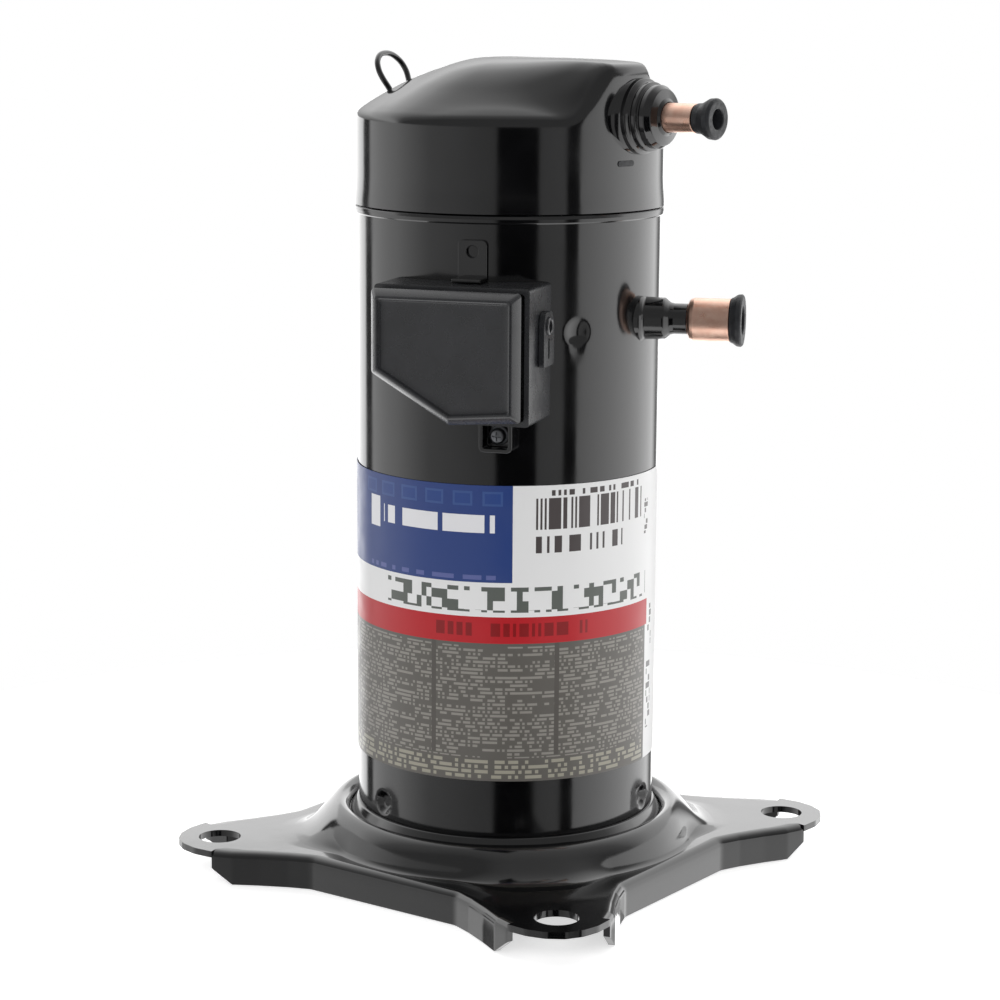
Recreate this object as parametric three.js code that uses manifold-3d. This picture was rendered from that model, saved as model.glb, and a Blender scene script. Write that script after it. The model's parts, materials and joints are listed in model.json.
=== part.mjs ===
// Hermetic scroll compressor, millimetres, +Z up.
// The origin is the centre of the mounting base, on the floor. The discharge stub points along +X.
// Heights are measured from the floor; angles run counter-clockwise from +X, seen from above.
import * as THREE from 'three';
import { mergeVertices } from 'three/addons/utils/BufferGeometryUtils.js';
import Module from 'manifold-3d';

const wasm = await Module();
wasm.setup();

// ---------- driving dimensions ----------
const GAP = 0.3;                 // space left between parts that touch
const WALL = 3;                  // pressed steel of the shell, caps and base

const SHELL_R = 69;              // outer radius of the shell
const SHELL_Z0 = 30;             // lower edge of the shell
const SEAM_Z = 306.3;            // middle of the upper seam, where the muffler plate is clamped
const CAP_R = 69.9;              // outer radius of the top cap's skirt
const CAP_TOP = 374;             // highest point of the top cap

const PLATE_TOP = 15;            // top of the base plate
const HOLE_PITCH = 190.5;        // square pattern of the mounting holes
const HOLE_R = 9.75;             // radius of a mounting hole
const FOOT_U = HOLE_PITCH / Math.SQRT2;   // hole's distance from the centre, along the foot

const DISCHARGE_Z = 349.5;       // axis of the discharge stub
const SUCTION_Z = 260;           // axis of the suction stub
const SUCTION_ANGLE = 24.3;      // direction of the suction stub
const SUCTION_OFFSET = 18.8;     // its axis passes this far from the shell's axis

const BOX_ANGLE = -71.5;         // direction that the terminal box faces
const BOX = { left: -32.5, right: 37, bottom: 220.5, top: 279.5, split: 92, front: 102, wall: 2.2 };
const COVER = { ...BOX, right: 35.2, top: 278.3 };  // the cover is a little smaller than the tray
const BOX_CHAMFER = { z: 241.5, t: 2.5 };  // the slanted lower left corner
const TERMINAL_Z = 243;          // centre of the hermetic terminal
const TERMINAL_R = 13;

const STAKE_ANGLE = -28.6;       // first of four stakes that hold the main bearing housing
const STAKE_Z = 257;
const LOWER_STAKE_ANGLE = 11.4;  // first of three stakes that hold the lower bearing bracket
const LOWER_STAKE_Z = 37.4;
const RING_ANGLE = -173.8;       // where the lifting ring stands on the cap

const WRAP_PITCH = 15.2;         // radial distance from one turn of a scroll wrap to the next
const WRAP_T = 3.2;              // wrap thickness
const FLANK_GAP = 0.35;
const ORBIT_R = WRAP_PITCH / 2 - WRAP_T - FLANK_GAP;
const WRAP_START = 2.6;          // involute angle of the inner and the outer end, radians
const WRAP_END = WRAP_START + 2.5 * 2 * Math.PI;

const ROUND = 36;                // facets of a large round part
const INNER = 24;                // and of a large one inside the shell
const MEDIUM = 20;
const SMALL = 12;

// ---------- helpers ----------
const rad = (degrees) => degrees * Math.PI / 180;

// Position-only geometry with shared vertices merged, flat triangles dropped and faces pointing out.
function clean(geometry) {
  const bare = geometry.clone();
  for (const name of ['normal', 'uv']) bare.deleteAttribute(name);
  const merged = mergeVertices(bare, 1e-3);
  const position = merged.attributes.position;
  const corner = (i) => new THREE.Vector3().fromBufferAttribute(position, i);
  const kept = [];
  let volume = 0;
  for (let i = 0; i < merged.index.count; i += 3) {
    const [a, b, c] = [0, 1, 2].map((k) => merged.index.getX(i + k));
    if (a === b || b === c || a === c) continue;
    kept.push(a, b, c);
    volume += corner(a).dot(corner(b).cross(corner(c)));
  }
  if (volume < 0) kept.reverse();
  merged.setIndex(kept);
  return merged;
}

function toSolid(geometry) {
  const body = clean(geometry);
  return new wasm.Manifold(new wasm.Mesh({
    numProp: 3,
    vertProperties: new Float32Array(body.attributes.position.array),
    triVerts: new Uint32Array(body.index.array),
  }));
}

function fromSolid(solid) {
  const mesh = solid.getMesh();
  const geometry = new THREE.BufferGeometry();
  geometry.setAttribute('position', new THREE.BufferAttribute(mesh.vertProperties.slice(), 3));
  geometry.setIndex(new THREE.BufferAttribute(mesh.triVerts.slice(), 1));
  return geometry;
}

const cut = (body, ...tools) =>
  fromSolid(tools.reduce((left, tool) => left.subtract(toSolid(tool)), toSolid(body)));
const join = (body, ...others) =>
  fromSolid(others.reduce((sum, other) => sum.add(toSolid(other)), toSolid(body)));
const common = (body, other) => fromSolid(toSolid(body).intersect(toSolid(other)));

// A closed profile of [radius, height] points turned about Z.
function turn(points, facets = ROUND) {
  const closed = [...points, points[0]].map(([r, z]) => new THREE.Vector2(r, z));
  return clean(new THREE.LatheGeometry(closed, facets).rotateX(Math.PI / 2));
}

const ring = (r0, r1, z0, z1, facets = ROUND) => turn([[r0, z0], [r1, z0], [r1, z1], [r0, z1]], facets);

function disc(r, z0, z1, facets = MEDIUM) {
  return clean(new THREE.CylinderGeometry(r, r, z1 - z0, facets).rotateX(Math.PI / 2)
    .translate(0, 0, (z0 + z1) / 2));
}

function block(x0, x1, y0, y1, z0, z1) {
  return clean(new THREE.BoxGeometry(x1 - x0, y1 - y0, z1 - z0)
    .translate((x0 + x1) / 2, (y0 + y1) / 2, (z0 + z1) / 2));
}

// An outline of [x, y] points, with optional hole outlines, raised from z0 to z1.
function plate(outline, z0, z1, holes = []) {
  const toPoints = (list) => list.map(([x, y]) => new THREE.Vector2(x, y));
  const shape = new THREE.Shape(toPoints(outline));
  shape.holes = holes.map((hole) => new THREE.Path(toPoints(hole)));
  return clean(new THREE.ExtrudeGeometry(shape, { depth: z1 - z0, bevelEnabled: false })
    .translate(0, 0, z0));
}

const circlePoints = (r, facets, x = 0, y = 0) => Array.from({ length: facets }, (_, i) => {
  const angle = 2 * Math.PI * i / facets;
  return [x + r * Math.cos(angle), y + r * Math.sin(angle)];
});

// A sector of a ring between two angles in degrees.
function sector(r0, r1, from, to, z0, z1, steps = 6) {
  const arc = (r, a, b) => Array.from({ length: steps + 1 }, (_, i) => {
    const angle = rad(a + (b - a) * i / steps);
    return [r * Math.cos(angle), r * Math.sin(angle)];
  });
  return plate([...arc(r1, from, to), ...arc(r0, to, from)], z0, z1);
}

// A round bar along a smooth curve through the points.
function bar(points, r, steps, sides = 10) {
  const curve = new THREE.CatmullRomCurve3(points.map((p) => new THREE.Vector3(...p)));
  const section = new THREE.Shape(circlePoints(r, sides).map(([x, y]) => new THREE.Vector2(x, y)));
  return clean(new THREE.ExtrudeGeometry(section, { steps, extrudePath: curve, bevelEnabled: false }));
}

const turned = (geometry, degrees) => geometry.clone().rotateZ(rad(degrees));

// Moves a shape made about Z, from the origin, onto a horizontal axis that points along +X.
const alongX = (geometry) => geometry.clone().rotateY(Math.PI / 2);

// ---------- materials ----------
const finish = (color, roughness, metalness) =>
  new THREE.MeshStandardMaterial({ color, roughness, metalness });
const blackPaint = finish(0x121214, 0.18, 0.1);
const steel = finish(0x9a9c9f, 0.4, 0.9);
const iron = finish(0x5d5f62, 0.6, 0.8);
const copper = finish(0xc07a58, 0.35, 0.95);
const aluminium = finish(0xb8babd, 0.45, 0.9);
const bronze = finish(0x9c7a42, 0.45, 0.9);
const rubber = finish(0x1a1b1d, 0.75, 0);
const plastic = finish(0x1d1e20, 0.45, 0);
const paper = finish(0xdadbdc, 0.4, 0);
const glass = finish(0x4c6a5c, 0.15, 0);

const compressor = new THREE.Group();

function add(name, geometry, material, parent = compressor) {
  const mesh = new THREE.Mesh(clean(geometry), material);
  mesh.name = name;
  parent.add(mesh);
  return mesh;
}

// Parts on the terminal box's axis are made in its own frame: x to the right of the box seen from
// the front, y towards the shell and z up, with the shell's axis at x = 0, y = 0.
const boxFrame = new THREE.Group();
boxFrame.rotation.z = rad(BOX_ANGLE + 90);
compressor.add(boxFrame);

// ---------- suction axis ----------
// The suction stub is turned about Z at the origin, then laid down and moved onto its own axis.
function onSuctionAxis(geometry) {
  return geometry.clone().rotateY(Math.PI / 2).translate(0, -SUCTION_OFFSET, SUCTION_Z)
    .rotateZ(rad(SUCTION_ANGLE));
}

const onDischargeAxis = (geometry) => alongX(geometry).translate(0, 0, DISCHARGE_Z);

// A cylinder that points out from the shell's axis at an angle and a height.
const radialDisc = (r, r0, r1, angle, z, facets) =>
  turned(alongX(disc(r, r0, r1, facets)).translate(0, 0, z), angle);

// ---------- housing ----------
function makeShell() {
  const tube = ring(SHELL_R - WALL, SHELL_R, SHELL_Z0, SEAM_Z - 1.8);
  const suctionHole = onSuctionAxis(disc(12.6, 40, 80));
  const terminalHole = radialDisc(TERMINAL_R + GAP, 50, 80, BOX_ANGLE, TERMINAL_Z, MEDIUM);
  const upperStakes = [0, 1, 2, 3].map((i) =>
    radialDisc(5.5, SHELL_R - 1.2, SHELL_R + 5, STAKE_ANGLE + 90 * i, STAKE_Z, SMALL));
  const lowerStakes = [0, 1, 2].map((i) =>
    radialDisc(4, SHELL_R - 1.2, SHELL_R + 5, LOWER_STAKE_ANGLE + 120 * i, LOWER_STAKE_Z, SMALL));
  return cut(tube, suctionHole, terminalHole, ...upperStakes, ...lowerStakes);
}

// The cap's outer surface: a low dome, which rises to a flat-topped boss over the discharge stub.
const CAP_DOME = [[22, 373], [36, 367.5], [50, 359.8], [60, 354], [66.4, 350.6], [CAP_R, 346]];
const CAP_BOSS = [[22, 373.8], [44, 373.4], [58, 372.5], [65.5, 370.5], [69, 367], [CAP_R, 361]];

function bossBlend(angle) {
  const away = Math.abs(Math.atan2(Math.sin(angle), Math.cos(angle)));
  return 1 - THREE.MathUtils.smoothstep(away, rad(20), rad(48));
}

function makeTopCap() {
  const facets = ROUND;
  const bottom = SEAM_Z + 1.8;
  const thin = (r) => Math.max(r - WALL, 0);
  const profileAt = (angle) => {
    const k = bossBlend(angle);
    const dome = CAP_DOME.map(([r, z], i) =>
      [r + k * (CAP_BOSS[i][0] - r), z + k * (CAP_BOSS[i][1] - z)]);
    const under = dome.slice(0, -1).map(([r, z]) => [thin(r), z - WALL]);
    const skirt = [[CAP_R, bottom], [CAP_R - WALL, bottom]];
    return [...dome, ...skirt, [CAP_R - WALL, dome.at(-1)[1] - WALL], ...under.reverse()];
  };
  const rows = Array.from({ length: facets }, (_, i) => profileAt(2 * Math.PI * i / facets));
  const vertices = rows.flatMap((row, i) => row.flatMap(([r, z]) => {
    const angle = 2 * Math.PI * i / facets;
    return [r * Math.cos(angle), r * Math.sin(angle), z];
  }));
  const count = rows[0].length;
  const outerPole = facets * count;
  const innerPole = outerPole + 1;
  vertices.push(0, 0, CAP_TOP, 0, 0, CAP_TOP - WALL);
  const index = [];
  for (let i = 0; i < facets; i += 1) {
    const here = i * count;
    const next = ((i + 1) % facets) * count;
    for (let j = 0; j < count - 1; j += 1) {
      index.push(here + j, here + j + 1, next + j, next + j, here + j + 1, next + j + 1);
    }
    index.push(here, next, outerPole, next + count - 1, here + count - 1, innerPole);
  }
  const geometry = new THREE.BufferGeometry();
  geometry.setAttribute('position', new THREE.BufferAttribute(new Float32Array(vertices), 3));
  geometry.setIndex(index);
  return cut(geometry, onDischargeAxis(disc(17, 50, 90)));
}

function makeLowerCap() {
  return turn([
    [0, 8], [42, 8], [63, 19.5], [65, 22.4], [72.9, 22.4], [72.9, 25], [69.6, SHELL_Z0 - GAP],
    [65.7, SHELL_Z0 - GAP], [65.7, 36], [62.7, 36], [62.7, 24], [57, 17], [41, 11], [0, 11],
  ]);
}

// The base's outline, half a foot at a time: u runs out along the foot, v across it.
const FOOT_HALF = [
  [96, 38], [106, 33.7], [119, 29.5], [131, 26.3], [140, 22.3], [147, 15.6], [151.6, 8.2], [153.8, 0],
];

function baseOutline() {
  const foot = [...FOOT_HALF, ...FOOT_HALF.slice(0, -1).reverse().map(([u, v]) => [u, -v])].reverse();
  const quarters = [0, 1, 2, 3].map((i) => rad(45 + 90 * i));
  return quarters.flatMap((angle) => foot.map(([u, v]) =>
    [u * Math.cos(angle) - v * Math.sin(angle), u * Math.sin(angle) + v * Math.cos(angle)]));
}

// Moves each side of a counter-clockwise outline inwards by a distance.
function inset(outline, distance) {
  const count = outline.length;
  const normal = (a, b) => {
    const [dx, dy] = [b[0] - a[0], b[1] - a[1]];
    const length = Math.hypot(dx, dy);
    return [-dy / length, dx / length];
  };
  return outline.map((point, i) => {
    const before = normal(outline[(i + count - 1) % count], point);
    const after = normal(point, outline[(i + 1) % count]);
    const scale = distance / (1 + before[0] * after[0] + before[1] * after[1]);
    return [point[0] + scale * (before[0] + after[0]), point[1] + scale * (before[1] + after[1])];
  });
}

function makeMountingBase() {
  const outline = baseOutline();
  const underside = PLATE_TOP - WALL;
  let base = cut(plate(outline, 0, PLATE_TOP), plate(inset(outline, WALL), -1, underside));
  // The skirt stops short of each foot's end, with its lower corner cut back.
  const footEnd = plate([[140, -40], [160, -40], [160, 40], [140, 40]], -1, underside);
  const slope = new THREE.ExtrudeGeometry(
    new THREE.Shape([[131, -1], [141, -1], [141, 7]].map(([u, z]) => new THREE.Vector2(u, z))),
    { depth: 80, bevelEnabled: false }).rotateX(Math.PI / 2).translate(0, 40, 0);
  const ends = [0, 1, 2, 3].flatMap((i) => [turned(footEnd, 45 + 90 * i), turned(slope, 45 + 90 * i)]);
  const holes = [0, 1, 2, 3].map((i) =>
    turned(disc(HOLE_R, 0, 20).translate(FOOT_U, 0, 0), 45 + 90 * i));
  base = cut(base, disc(88, 0, 20, ROUND), ...ends, ...holes);
  const collar = turn([
    [90, 15], [87.4, 19.5], [84, 24.5], [80.3, 28.3], [77, 29.3], [74.6, 27.6], [73.3, 25], [73.3, 22.4],
    [75, 22.4], [77.4, 25.8], [80.6, 23.4], [87, 12], [90, 12],
  ]);
  return join(base, collar);
}

// An eye of bent wire: [sideways, up its own plane] points, in a plane that leans out from the dome.
function makeLiftingRing() {
  const [footR, footZ, wireR] = [58, 357.5, 1.35];
  const lean = rad(26);
  const half = [[-8.4, -1], [-9.4, 2], [-11, 6], [-11.6, 10], [-10, 14.3], [-5.6, 17.6]];
  const mirrored = half.map(([side, rise]) => [-side, rise]).reverse();
  const loop = [...half, [0, 18.6], ...mirrored].map(([side, rise]) => [
    footR + rise * Math.sin(lean), side, footZ + rise * Math.cos(lean),
  ]);
  return turned(bar(loop, wireR, 20, 8), RING_ANGLE);
}

function makeMufflerPlate() {
  const [z0, z1] = [SEAM_Z - 1.5, SEAM_Z + 1.5];
  return ring(9, 70.4, z0, z1);
}

function makeRatingLabel() {
  return sector(SHELL_R + GAP, SHELL_R + 0.7, -154.5, 25.5, 56.3, 190.2, 24);
}

// ---------- stubs ----------
const dischargeFitting = turn([
  [6.65, 62], [16.7, 62], [16.7, 72.6], [15, 73.6], [15, 76.6], [13.9, 77.2], [13.9, 80.4], [12.4, 82.4],
  [9.4, 83.4], [7.3, 84], [6.65, 84],
], MEDIUM);
const dischargeTube = ring(5.35, 6.35, 66, 99, 16);
const dischargePlug = turn([
  [0, 90], [5.05, 90], [5.05, 98.7], [4.6, 99.3], [6.4, 99.6], [6.6, 102.5], [9, 106.4], [9, 108.8],
  [8.2, 109.6], [4.2, 109.6], [3.8, 101], [0, 101],
], 16);
const suctionFitting = turn([
  [6.3, 58], [12.25, 58], [12.25, 68.6], [9.4, 69.6], [9.3, 75.2], [7, 77.4], [6.9, 85], [6.3, 85],
], MEDIUM);
const suctionTube = turn([
  [5, 70], [6, 70], [6, 85.3], [7.2, 85.4], [9.1, 86.4], [9.6, 88], [9.6, 104], [8.6, 104], [8.6, 88.5],
  [7.4, 87.2], [5, 86.6],
], 16);
const suctionPlug = turn([
  [0, 95], [8.3, 95], [8.3, 103.4], [7.8, 104.3], [9.8, 104.4], [10.1, 105.4], [11.75, 107.6],
  [11.75, 109], [11, 109.8], [6.2, 109.8], [5.8, 98], [0, 98],
], 16);

// ---------- terminal box ----------
// Outline of the box seen from the front, as [across, height], shrunk by a margin.
function boxOutline(margin, { left, right, bottom, top } = BOX) {
  const corners = [
    [right, bottom], [right, top], [left, top], [left, BOX_CHAMFER.z], [BOX_CHAMFER.t, bottom],
  ];
  return margin ? inset(corners, margin) : corners;
}

// Raises a [across, height] outline from one distance in front of the shell's axis to another.
function facing(outline, n0, n1, holes = []) {
  return plate(outline, n0, n1, holes).rotateX(Math.PI / 2);
}

const towardsFront = (geometry) => geometry.clone().rotateX(Math.PI / 2);
const terminalDisc = (r, n0, n1, facets, across = 0, up = 0) =>
  towardsFront(disc(r, n0, n1, facets).translate(across, TERMINAL_Z + up, 0));

function makeTerminalBox() {
  const tray = cut(facing(boxOutline(0), 50, BOX.split), disc(SHELL_R + 0.4, 200, 300, ROUND));
  const hollow = cut(facing(boxOutline(BOX.wall), 50, BOX.split + 1), disc(SHELL_R + 2.6, 200, 300, ROUND));
  const cableHole = disc(7, 210, 230, SMALL).translate(20, -82, 0);
  return cut(tray, hollow, terminalDisc(TERMINAL_R + 2.9, 50, 80, MEDIUM), cableHole);
}

function makeTerminalCover() {
  const back = BOX.split + GAP;
  const body = facing(boxOutline(0, COVER), back, BOX.front - 1.2);
  const face = facing(boxOutline(1.5, COVER), BOX.front - 2, BOX.front);
  const hollow = facing(boxOutline(BOX.wall, COVER), back - 1, BOX.front - BOX.wall - 1.5);
  const panel = facing(boxOutline(5, COVER), BOX.front - 1, BOX.front + 1);
  return cut(join(body, face), hollow, panel);
}

function makeLatch() {
  const hook = block(BOX.right + GAP, BOX.right + 3, -78, -62, 244, 268);
  const slot = block(BOX.right - 1, BOX.right + 5, -71, -69, 247, 258);
  const eye = block(BOX.right - 1, BOX.right + 5, -74, -68, 261, 265.5);
  return cut(hook, slot, eye);
}

function makeTopBracket() {
  const strap = block(-1.5, 11.5, -74, -66, BOX.top + GAP, 297.5);
  const curved = common(strap, ring(SHELL_R + GAP, SHELL_R + 1.9, 270, 310));
  const lip = block(-1.5, 11.5, -80, -70, BOX.top + GAP, BOX.top + 1.8);
  const hole = towardsFront(disc(2.6, 60, 80, SMALL).translate(5, 292.5, 0));
  return cut(join(curved, lip), hole);
}

const GROUND = { across: 18, z0: 206.5, z1: 219.5 };

function makeGroundBracket() {
  const { across, z0, z1 } = GROUND;
  const [half, wall] = [7.5, 1.8];
  const box = (x, low, high) => [
    [across - x, low], [across + x, low], [across + x, high], [across - x, high],
  ];
  const cup = facing(box(half, z0, z1), 50, 78);
  const inside = facing(box(half - wall, z0 + wall, z1 + 1), 72, 80);
  return cut(cup, disc(SHELL_R + GAP, 200, 230, ROUND), inside);
}

function makeGroundScrew() {
  const { across, z0, z1 } = GROUND;
  const middle = (z0 + z1) / 2 + 0.4;
  return towardsFront(turn([[0, 72.3], [2.2, 72.3], [3.6, 72.9], [3.6, 75.5], [2.8, 76.2], [0, 76.2]], 12)
    .translate(across, middle, 0));
}

const PINS = [[-6.5, -4], [6.5, -4], [0, 7]];

function makeTerminalCup() {
  const cup = towardsFront(turn([
    [0, 60.5], [TERMINAL_R, 60.5], [TERMINAL_R, 70.2], [TERMINAL_R + 2.5, 70.2], [TERMINAL_R + 2.5, 72],
    [TERMINAL_R - 1.6, 72], [TERMINAL_R - 1.6, 63], [0, 63],
  ], MEDIUM).translate(0, TERMINAL_Z, 0));
  return cut(cup, ...PINS.map(([x, z]) => terminalDisc(3.3, 55, 70, 12, x, z)));
}

const terminalPart = (points, [x, z]) =>
  towardsFront(turn(points, 12).translate(x, TERMINAL_Z + z, 0));
const makeTerminalBead = (place) =>
  terminalPart([[1.5, 60], [2.6, 60], [3, 60.5], [3, 63.4], [2.4, 64.4], [1.5, 64.4]], place);
const makeTerminalPin = (place) => terminalPart([[0, 58.6], [1.2, 58.6], [1.2, 79], [0, 79]], place);

function makeMotorLead([x, z]) {
  const start = TERMINAL_Z + z;
  return bar([[x, -58.3, start], [x, -56.4, start], [x, -55, start - 3], [x, -54.3, start - 12],
    [x * 0.8, -53, 205], [x * 0.7, -51, 190.6]], 1.3, 12, 8);
}

// ---------- scroll set ----------
const BASE_CIRCLE = WRAP_PITCH / (2 * Math.PI);

// Outline of a scroll wrap, whose two flanks are involutes of one base circle.
function wrapOutline() {
  const steps = 74;
  const half = WRAP_T / (2 * BASE_CIRCLE);
  const flank = (side) => Array.from({ length: steps + 1 }, (_, i) => {
    const angle = WRAP_START + (WRAP_END - WRAP_START) * i / steps;
    const arm = angle + side * half;
    return [
      BASE_CIRCLE * (Math.cos(angle) + arm * Math.sin(angle)),
      BASE_CIRCLE * (Math.sin(angle) - arm * Math.cos(angle)),
    ];
  });
  return [...flank(1), ...flank(-1).reverse()];
}

function makeNonOrbitingScroll() {
  const body = turn([
    [5, 276], [51, 276], [51, 258.6], [56.5, 258.6], [56.5, 286], [40, 288], [40, 299], [34.8, 299],
    [34.8, 288], [14.2, 288], [14.2, 299], [5, 299],
  ], INNER);
  const ears = [0, 1, 2, 3].map((i) =>
    sector(54, 64.5, STAKE_ANGLE + 90 * i - 8, STAKE_ANGLE + 90 * i + 8, 258.6, 266, 2));
  const boltHoles = [0, 1, 2, 3].map((i) =>
    turned(disc(3, 250, 270, 12).translate(60.3, 0, 0), STAKE_ANGLE + 90 * i));
  const inlet = turned(block(45, 60, -9, 9, 261, 274), SUCTION_ANGLE - 8);
  return cut(join(body, plate(wrapOutline(), 258.7, 277), ...ears), ...boltHoles, inlet);
}

function makeOrbitingScroll() {
  const body = turn([[0, 258.3], [50, 258.3], [50, 250.3], [17, 250.3], [17, 235], [13, 235],
    [13, 250.3], [0, 250.3]], INNER);
  const wrap = turned(plate(wrapOutline(), 257, 275.6), 180);
  const keyRoom = ORBIT_R * 2 + 4.4;
  const slots = [[36.5, 60], [-60, -36.5]].map(([x0, x1]) => block(x0, x1, -keyRoom, keyRoom, 249, 254));
  return cut(join(body, wrap), ...slots).translate(ORBIT_R, 0, 0);
}

function makeOldhamCoupling() {
  const band = ring(41, 48, 243.4, 249.6, INNER);
  const keys = [
    block(41.3, 47.7, -4, 4, 248, 253.4), block(-47.7, -41.3, -4, 4, 248, 253.4),
    block(-4, 4, 41.3, 47.7, 239.6, 245), block(-4, 4, -47.7, -41.3, 239.6, 245),
  ];
  return join(band, ...keys);
}

function makeDriveBushing() {
  const slot = plate([[-7.4, -5.3], [8.2, -5.3], [8.2, 5.3], [-7.4, 5.3]], 230, 260);
  return cut(disc(10.9, 236.5, 249.6), slot).translate(ORBIT_R, 0, 0);
}

const eccentric = (geometry) => geometry.translate(ORBIT_R, 0, 0);
const makeDriveBearing = () => eccentric(ring(11.2, 12.7, 235.5, 249.8, MEDIUM));

// ---------- crankshaft and motor ----------
function makeCrankshaft() {
  const shaft = turn([
    [0, 38], [8, 38], [8, 62], [9.5, 63], [9.5, 198], [12, 199], [12, 233], [0, 233],
  ], MEDIUM);
  const flats = block(-7, 7, -5, 5, 225, 260);
  const pin = common(disc(7, 230, 249.3, MEDIUM), flats).translate(ORBIT_R, 0, 0);
  const oilBore = disc(1.6, 30, 260, 8).translate(3, 0, 0);
  return cut(join(shaft, pin), oilBore);
}

const STACK = { z0: 95, z1: 165 };   // the motor's laminated stack

function makeStator() {
  const teeth = 18;
  const bore = Array.from({ length: teeth }, (_, i) => {
    const at = (r, degrees) => {
      const angle = rad(360 * i / teeth + degrees);
      return [r * Math.cos(angle), r * Math.sin(angle)];
    };
    return [at(32.2, -7), at(32.2, 7), at(50, 4.5), at(50, 15.5)];
  }).flat();
  const stack = plate(circlePoints(65.6, ROUND), STACK.z0, STACK.z1, [bore.reverse()]);
  const flats = [0, 1, 2, 3].map((i) => turned(block(62.5, 70, -30, 30, 90, 170), 90 * i));
  return cut(stack, ...flats);
}

function makeWinding(z0, z1, wide) {
  const mid = (z0 + z1) / 2;
  const slim = wide === 'top' ? [z1, z0] : [z0, z1];
  return turn([
    [36, slim[1]], [34.5, mid], [37, slim[0]], [55, slim[0]], [59, mid], [57, slim[1]],
  ], 24);
}

const makeRotorCore = () => ring(9.8, 31.4, STACK.z0, STACK.z1, 24);
const makeEndRing = (z0, z1) => ring(16, 31, z0, z1, 24);
const makeCounterweight = (heading, z0, z1) => sector(16, 30.5, heading - 80, heading + 80, z0, z1, 8);
const makeOilPickup = () => turn([[2.4, 20], [3.2, 20], [3.8, 24], [3.8, 37.7], [2.4, 37.7]], SMALL);

// ---------- bearings ----------
function makeMainBearingHousing() {
  const body = turn([
    [15.1, 198], [24, 198], [24, 226], [34, 236], [57, 238], [57, 258.3], [54.8, 258.3], [54.8, 243],
    [36, 243], [36, 250], [22, 250], [22, 234], [15.1, 234],
  ], INNER);
  const lobes = [0, 1, 2, 3].map((i) =>
    sector(55.5, 65.6, STAKE_ANGLE + 90 * i - 13, STAKE_ANGLE + 90 * i + 13, 244, 258.3, 4));
  const boltHoles = [0, 1, 2, 3].map((i) =>
    turned(disc(2.6, 246, 262, 12).translate(60.3, 0, 0), STAKE_ANGLE + 90 * i));
  const keyways = [block(-4.4, 4.4, 36.4, 53, 239, 245), block(-4.4, 4.4, -53, -36.4, 239, 245)];
  const terminalRoom = radialDisc(17, 52, 80, BOX_ANGLE, TERMINAL_Z, MEDIUM);
  return cut(join(body, ...lobes), ...boltHoles, ...keyways, terminalRoom);
}

function makeLowerBracket() {
  const hub = turn([[4.6, 33], [15, 33], [15, 60], [10.6, 60], [10.6, 36], [4.6, 36]], MEDIUM);
  const arms = [0, 1, 2].flatMap((i) => {
    const angle = LOWER_STAKE_ANGLE + 120 * i;
    return [
      turned(block(13, 62.2, -5, 5, 38, 46), angle),
      sector(58.5, 62.4, angle - 12, angle + 12, 33, 46, 4),
    ];
  });
  const feet = [0, 1, 2].map((i) => {
    const angle = LOWER_STAKE_ANGLE + 120 * i;
    return sector(60, 65.6, angle - 12, angle + 12, 36.5, 46, 4);
  });
  return join(hub, ...arms, ...feet);
}

function makeScrollBolt(i) {
  const bolt = join(disc(2.3, 247, 268, 10), disc(4.2, 267.3, 271.3, 6));
  return turned(bolt.translate(60.3, 0, 0), STAKE_ANGLE + 90 * i);
}

function makeFloatingSeal() {
  return turn([
    [14.6, 292], [34.4, 292], [34.4, 298.5], [30.5, 302], [25.5, 302], [14.6, 298.5],
  ], 24);
}

function makeValveCage() {
  const floor = SEAM_Z + 1.8;
  const cage = turn([[13.2, floor], [15.2, floor], [15.2, floor + 10], [4, floor + 10], [4, floor + 8],
    [13.2, floor + 8]], 18);
  const windows = [0, 1, 2].map((i) => turned(block(8, 20, -5, 5, floor + 2.5, floor + 7), 60 + 120 * i));
  return cut(cage, ...windows);
}

// ---------- assembly ----------
add('shell', makeShell(), blackPaint);
add('top_cap', makeTopCap(), blackPaint);
add('muffler_plate', makeMufflerPlate(), blackPaint);
add('lower_cap', makeLowerCap(), blackPaint);
add('mounting_base', makeMountingBase(), blackPaint);
add('lifting_ring', makeLiftingRing(), blackPaint);
add('rating_label', makeRatingLabel(), paper);

add('discharge_fitting', onDischargeAxis(dischargeFitting), blackPaint);
add('discharge_tube', onDischargeAxis(dischargeTube), copper);
add('discharge_plug', onDischargeAxis(dischargePlug), rubber);
add('suction_fitting', onSuctionAxis(suctionFitting), blackPaint);
add('suction_tube', onSuctionAxis(suctionTube), copper);
add('suction_plug', onSuctionAxis(suctionPlug), rubber);

add('terminal_box', makeTerminalBox(), plastic, boxFrame);
add('terminal_cover', makeTerminalCover(), plastic, boxFrame);
add('cover_latch', makeLatch(), plastic, boxFrame);
add('box_bracket', makeTopBracket(), steel, boxFrame);
add('ground_bracket', makeGroundBracket(), steel, boxFrame);
add('ground_screw', makeGroundScrew(), steel, boxFrame);
add('terminal_cup', makeTerminalCup(), steel, boxFrame);
PINS.forEach((place, i) => {
  add(`terminal_bead_${i + 1}`, makeTerminalBead(place), glass, boxFrame);
  add(`terminal_pin_${i + 1}`, makeTerminalPin(place), steel, boxFrame);
  add(`motor_lead_${i + 1}`, makeMotorLead(place), rubber, boxFrame);
});

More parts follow.
